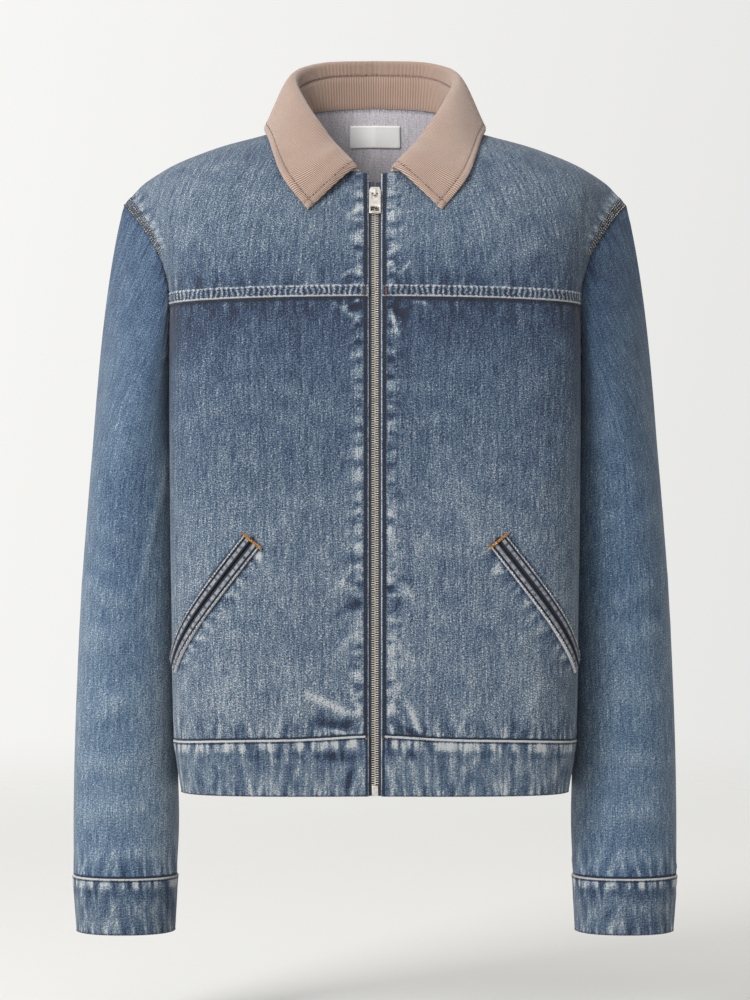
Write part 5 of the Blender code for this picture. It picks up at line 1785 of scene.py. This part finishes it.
def zip_teeth(line, material):
    """The closed chain: teeth from both tapes in turn, from the box up to the slider."""
    places = []
    heights = np.arange(ZIP_END_Z + ZIP_BOX_LENGTH + 0.0006, SLIDER_Z, TOOTH_PITCH)
    for number, z in enumerate(heights):
        out, up = line.outward(z)
        origin = line.point(FRONT_EDGE_X, z) - out * (CHAIN_DEPTH + CHAIN / 2)
        origin[0] = 0.0
        turned = 1.0 if number % 2 else -1.0
        axes = np.array([[turned, 0.0, 0.0], -out, up * turned]) / 1000
        places.append((origin, axes))
    teeth = placed_copies("zip_teeth_chain", tooth_pattern(), places, material, smooth=False)
    fitted(teeth, JACKET, "zip_chain")


# ---------------------------------------------------------------- the jacket

front_lower = lower_grid(front_line, FRONT_COLUMNS)
front_upper = upper_grid(front_line, FRONT_COLUMNS, True)
back_lower = lower_grid(back_line, BACK_COLUMNS)
back_upper = upper_grid(back_line, BACK_COLUMNS, False)
armhole, armhole_front_count = armhole_ring(front_lower, front_upper, back_lower, back_upper)
sleeve_turn = sleeve_turns(armhole, armhole_front_count)
sleeve_rows = sleeve_grid(armhole, sleeve_turn)
cuff_rows = cuff_grid(sleeve_turn)

twill, wash = twill_group(), wash_group()
denim = denim_finish("washed_denim", twill, wash, INDIGO, 0.30, 0.36, 0.76)
band_denim = denim_finish("washed_denim_doubled", twill, wash, INDIGO, 0.26, 0.60, 0.60)
welt_denim = denim_finish("washed_welt_denim", twill, wash, WELT_GREY, 0.10, 0.20, 0.30)
# The wrong side is painted paler than its own colour, as painted light for the inside of the neck
wrong_side = denim_finish("denim_wrong_side", twill, wash, WRONG_SIDE_WITH_PAINTED_LIGHT, 0.10, 0.10, 0.40)
sleeve_denim = denim_finish("washed_sleeve_denim", twill, wash, SLEEVE_INDIGO, 0.26, 0.30, 0.58)
corduroy = corduroy_finish()
label_cotton = plain_weave_finish("label_cotton", (0.86, 0.86, 0.84), (0.97, 0.97, 0.95), 0.0006)
dark_tape, pale_tape = (0.006, 0.008, 0.016), (0.030, 0.040, 0.070)
tape_cloth = plain_weave_finish("zip_tape_cloth", dark_tape, pale_tape, 0.0007)
# Each thread's finish, with its darkest and palest shade
THREAD_SHADES = {
    "pale": ("white_thread", (0.480, 0.490, 0.500), (0.900, 0.900, 0.880)),
    "ecru": ("ecru_thread", (0.300, 0.270, 0.200), (0.950, 0.890, 0.740)),
    "rust": ("rust_thread", (0.160, 0.070, 0.035), (0.420, 0.210, 0.110)),
    "brown": ("brown_thread", (0.050, 0.036, 0.026), (0.360, 0.260, 0.160)),
    "blue": ("dark_blue_thread", (0.008, 0.007, 0.010), (0.100, 0.078, 0.070)),
    "orange": ("orange_thread", (0.640, 0.270, 0.045), (1.000, 0.520, 0.130)),
    "taupe": ("taupe_thread", (0.130, 0.090, 0.070), (0.300, 0.230, 0.185)),
}
THREADS = {
    thread: (thread_finish(*looks), "corduroy" if thread == "taupe" else "denim")
    for thread, looks in THREAD_SHADES.items()
}
brass = metal_finish("zip_brass", (1.000, 0.940, 0.800), (0.760, 0.680, 0.540), 0.30)
steel = metal_finish("zip_brushed_steel", (0.700, 0.665, 0.625), (0.500, 0.475, 0.445), 0.34)
STITCH = stitch_pattern()

yokes = []
for right in (True, False):
    side = side_of(right)
    zip_edge, arm_edge = zip_and_side(right)
    shift = 0 if right else LEFT_SHIFT
    front = front_sheet(front_lower, right, FRONT_SEED + shift)
    dressed(front, f"front_{side}", denim, wrong_side)
    edge_row = (zip_edge, 0.0030, "blue", FINE_STITCH, all_along)
    stitched(front, [edge_row, ("high", 0.0022, "blue", FINE_STITCH, all_along)])

    yoke = yoke_sheet(front_upper, right, YOKE_SEED + shift)
    yokes.append((yoke, zip_edge))
    dressed(yoke, f"front_yoke_{side}", denim, wrong_side)
    seam_rows = [("low", distance, "brown", TOPSTITCH, all_along) for distance in (0.0022, 0.0078)]
    stitched(yoke, [*seam_rows, *armhole_rows(arm_edge), edge_row])

    sleeve = sleeve_sheet(sleeve_rows, sleeve_turn, right, SLEEVE_SEED + shift)
    dressed(sleeve, f"sleeve_{side}", sleeve_denim, wrong_side)
    cuff = cuff_sheet(cuff_rows, sleeve_turn, right, CUFF_SEED + shift)
    dressed(cuff, f"cuff_{side}", band_denim, wrong_side)
    stitched(cuff, band_rows())

    near, far = WELT_SLIT / 2, WELT_SLIT / 2 + WELT_WIDTH
    for part, low, high in (("upper", near, far), ("lower", -far, -near)):
        seed = WELT_SEED + 10 * right + (part == "upper")
        welt = welt_sheet(part, low, high, right, seed)
        dressed(welt, f"pocket_welt_{part}_{side}", welt_denim, wrong_side)
    pocket_sewing(right)

back = back_sheet(back_lower, back_upper)
dressed(back, "back", denim, wrong_side)
stitched(back, [*armhole_rows("start"), *armhole_rows("end")])

waistband = waistband_sheet()
dressed(waistband, "waistband", band_denim, wrong_side)
zip_rows = [("high", 0.0024, "orange", TOPSTITCH, where) for where in (right_of_zip, left_of_zip)]
stitched(waistband, [*band_rows(), *zip_rows])
yoke_bartacks(yokes)

drape = draper([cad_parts[name] for name in ("front_yoke_left", "front_yoke_right", "back")])
stand, fall = collar_sheets(drape)
stand.soften(ALL_EDGES, depth=0.0008)
dressed(stand, "collar_stand", corduroy, corduroy)
outer_edges = ("end", "low", "high")
collar_wear(fall, outer_edges)
fall.soften(("start",), depth=0.0008)
fall.soften(outer_edges, depth=0.0018)
dressed(fall, "collar_fall", corduroy, corduroy)
rows = [(edge, EDGE_STITCH, "taupe", TOPSTITCH, all_along) for edge in outer_edges]
stitched(fall, [*rows, ("start", 0.0014, "taupe", TOPSTITCH, all_along)])
label = label_sheet(back_upper)
dressed(label, "neck_label", label_cotton, label_cotton)

face_line = ZipLine([waistband.grid[:-1, : len(FRONT_COLUMNS)], front_lower, front_upper[1:]])
for right in (True, False):
    tape = tape_sheet(face_line, right)
    dressed(tape, f"zip_tape_{side_of(right)}", tape_cloth, tape_cloth)
zip_teeth(face_line, brass)
metal_parts = ("box", JACKET, 0.0004), ("slider", JACKET, 0.00035), ("pull", PULL_TAB, 0.0003)
for part, body, rounding in metal_parts:
    plated(f"zip_{part}", f"zip_{part}_metal", steel, body, rounding)

# ---------------------------------------------------------------- floor, light and camera

FLOOR_Z = -0.80
MIDDLE = (0.0, 0.0, -0.33)
CAMERA_PLACE = (0.0, -3.0, -0.3335)
# The air's brightness, and how it changes towards the right and upward
AIR_LEVEL = 0.86
AIR_RIGHT = -0.51
AIR_UP = 0.10


def studio_floor():
    bpy.ops.object.select_all(action="DESELECT")
    bpy.ops.mesh.primitive_plane_add(size=10.0, location=(0, 0, FLOOR_Z))
    floor = bpy.context.object
    floor.name = "studio_floor"
    bpy.ops.object.transform_apply(location=True, rotation=False, scale=True)
    material, tree, shader = plain_finish("studio_floor_paint", (0.66, 0.656, 0.644), 0.9)
    length = nodes_of(tree, "ShaderNodeVectorMath", operation="LENGTH")
    link(tree, object_place(tree), length.inputs[0])
    fading = nodes_of(tree, "ShaderNodeMapRange", interpolation_type="SMOOTHSTEP")
    fading.inputs["From Min"].default_value = 0.8
    fading.inputs["From Max"].default_value = 4.0
    link(tree, length.outputs["Value"], fading.inputs["Value"])
    clear = nodes_of(tree, "ShaderNodeBsdfTransparent")
    mixed = nodes_of(tree, "ShaderNodeMixShader")
    link(tree, fading.outputs["Result"], mixed.inputs["Fac"])
    link(tree, shader.outputs["BSDF"], mixed.inputs[1])
    link(tree, clear.outputs["BSDF"], mixed.inputs[2])
    link(tree, mixed.outputs["Shader"], tree.nodes["Material Output"].inputs["Surface"])
    floor.data.materials.append(material)


def soft_light(name, place, aim, width, power):
    light = bpy.data.lights.new(name, "AREA")
    light.shape = "SQUARE"
    light.size = width
    light.energy = power
    obj = placed(name, light)
    obj.location = place
    obj.rotation_euler = (Vector(aim) - Vector(place)).to_track_quat("-Z", "Y").to_euler()


studio_floor()
soft_light("key_light", (-1.9, -2.4, 1.3), MIDDLE, 1.2, 100.0)
soft_light("top_light", (0.3, 0.4, 2.2), MIDDLE, 1.8, 8.0)

scene = bpy.context.scene
world = bpy.data.worlds.new("studio_air")
world.use_nodes = True
air = world.node_tree
toward = parts_of(air, nodes_of(air, "ShaderNodeTexCoord").outputs["Generated"])
brightness = sum_of(air, (toward["X"], AIR_RIGHT), (toward["Z"], AIR_UP), base=AIR_LEVEL)
air.nodes["Background"].inputs["Color"].default_value = (1.0, 0.995, 0.975, 1.0)
link(air, brightness, air.nodes["Background"].inputs["Strength"])
scene.world = world
scene.view_settings.view_transform = "Standard"

camera = bpy.data.cameras.new("camera")
camera.sensor_fit = "VERTICAL"
camera.sensor_height = 24.0
camera.lens = 81.6
camera_object = placed("camera", camera)
camera_object.location = CAMERA_PLACE
camera_object.rotation_euler = (math.pi / 2, 0.0, 0.0)
scene.camera = camera_object
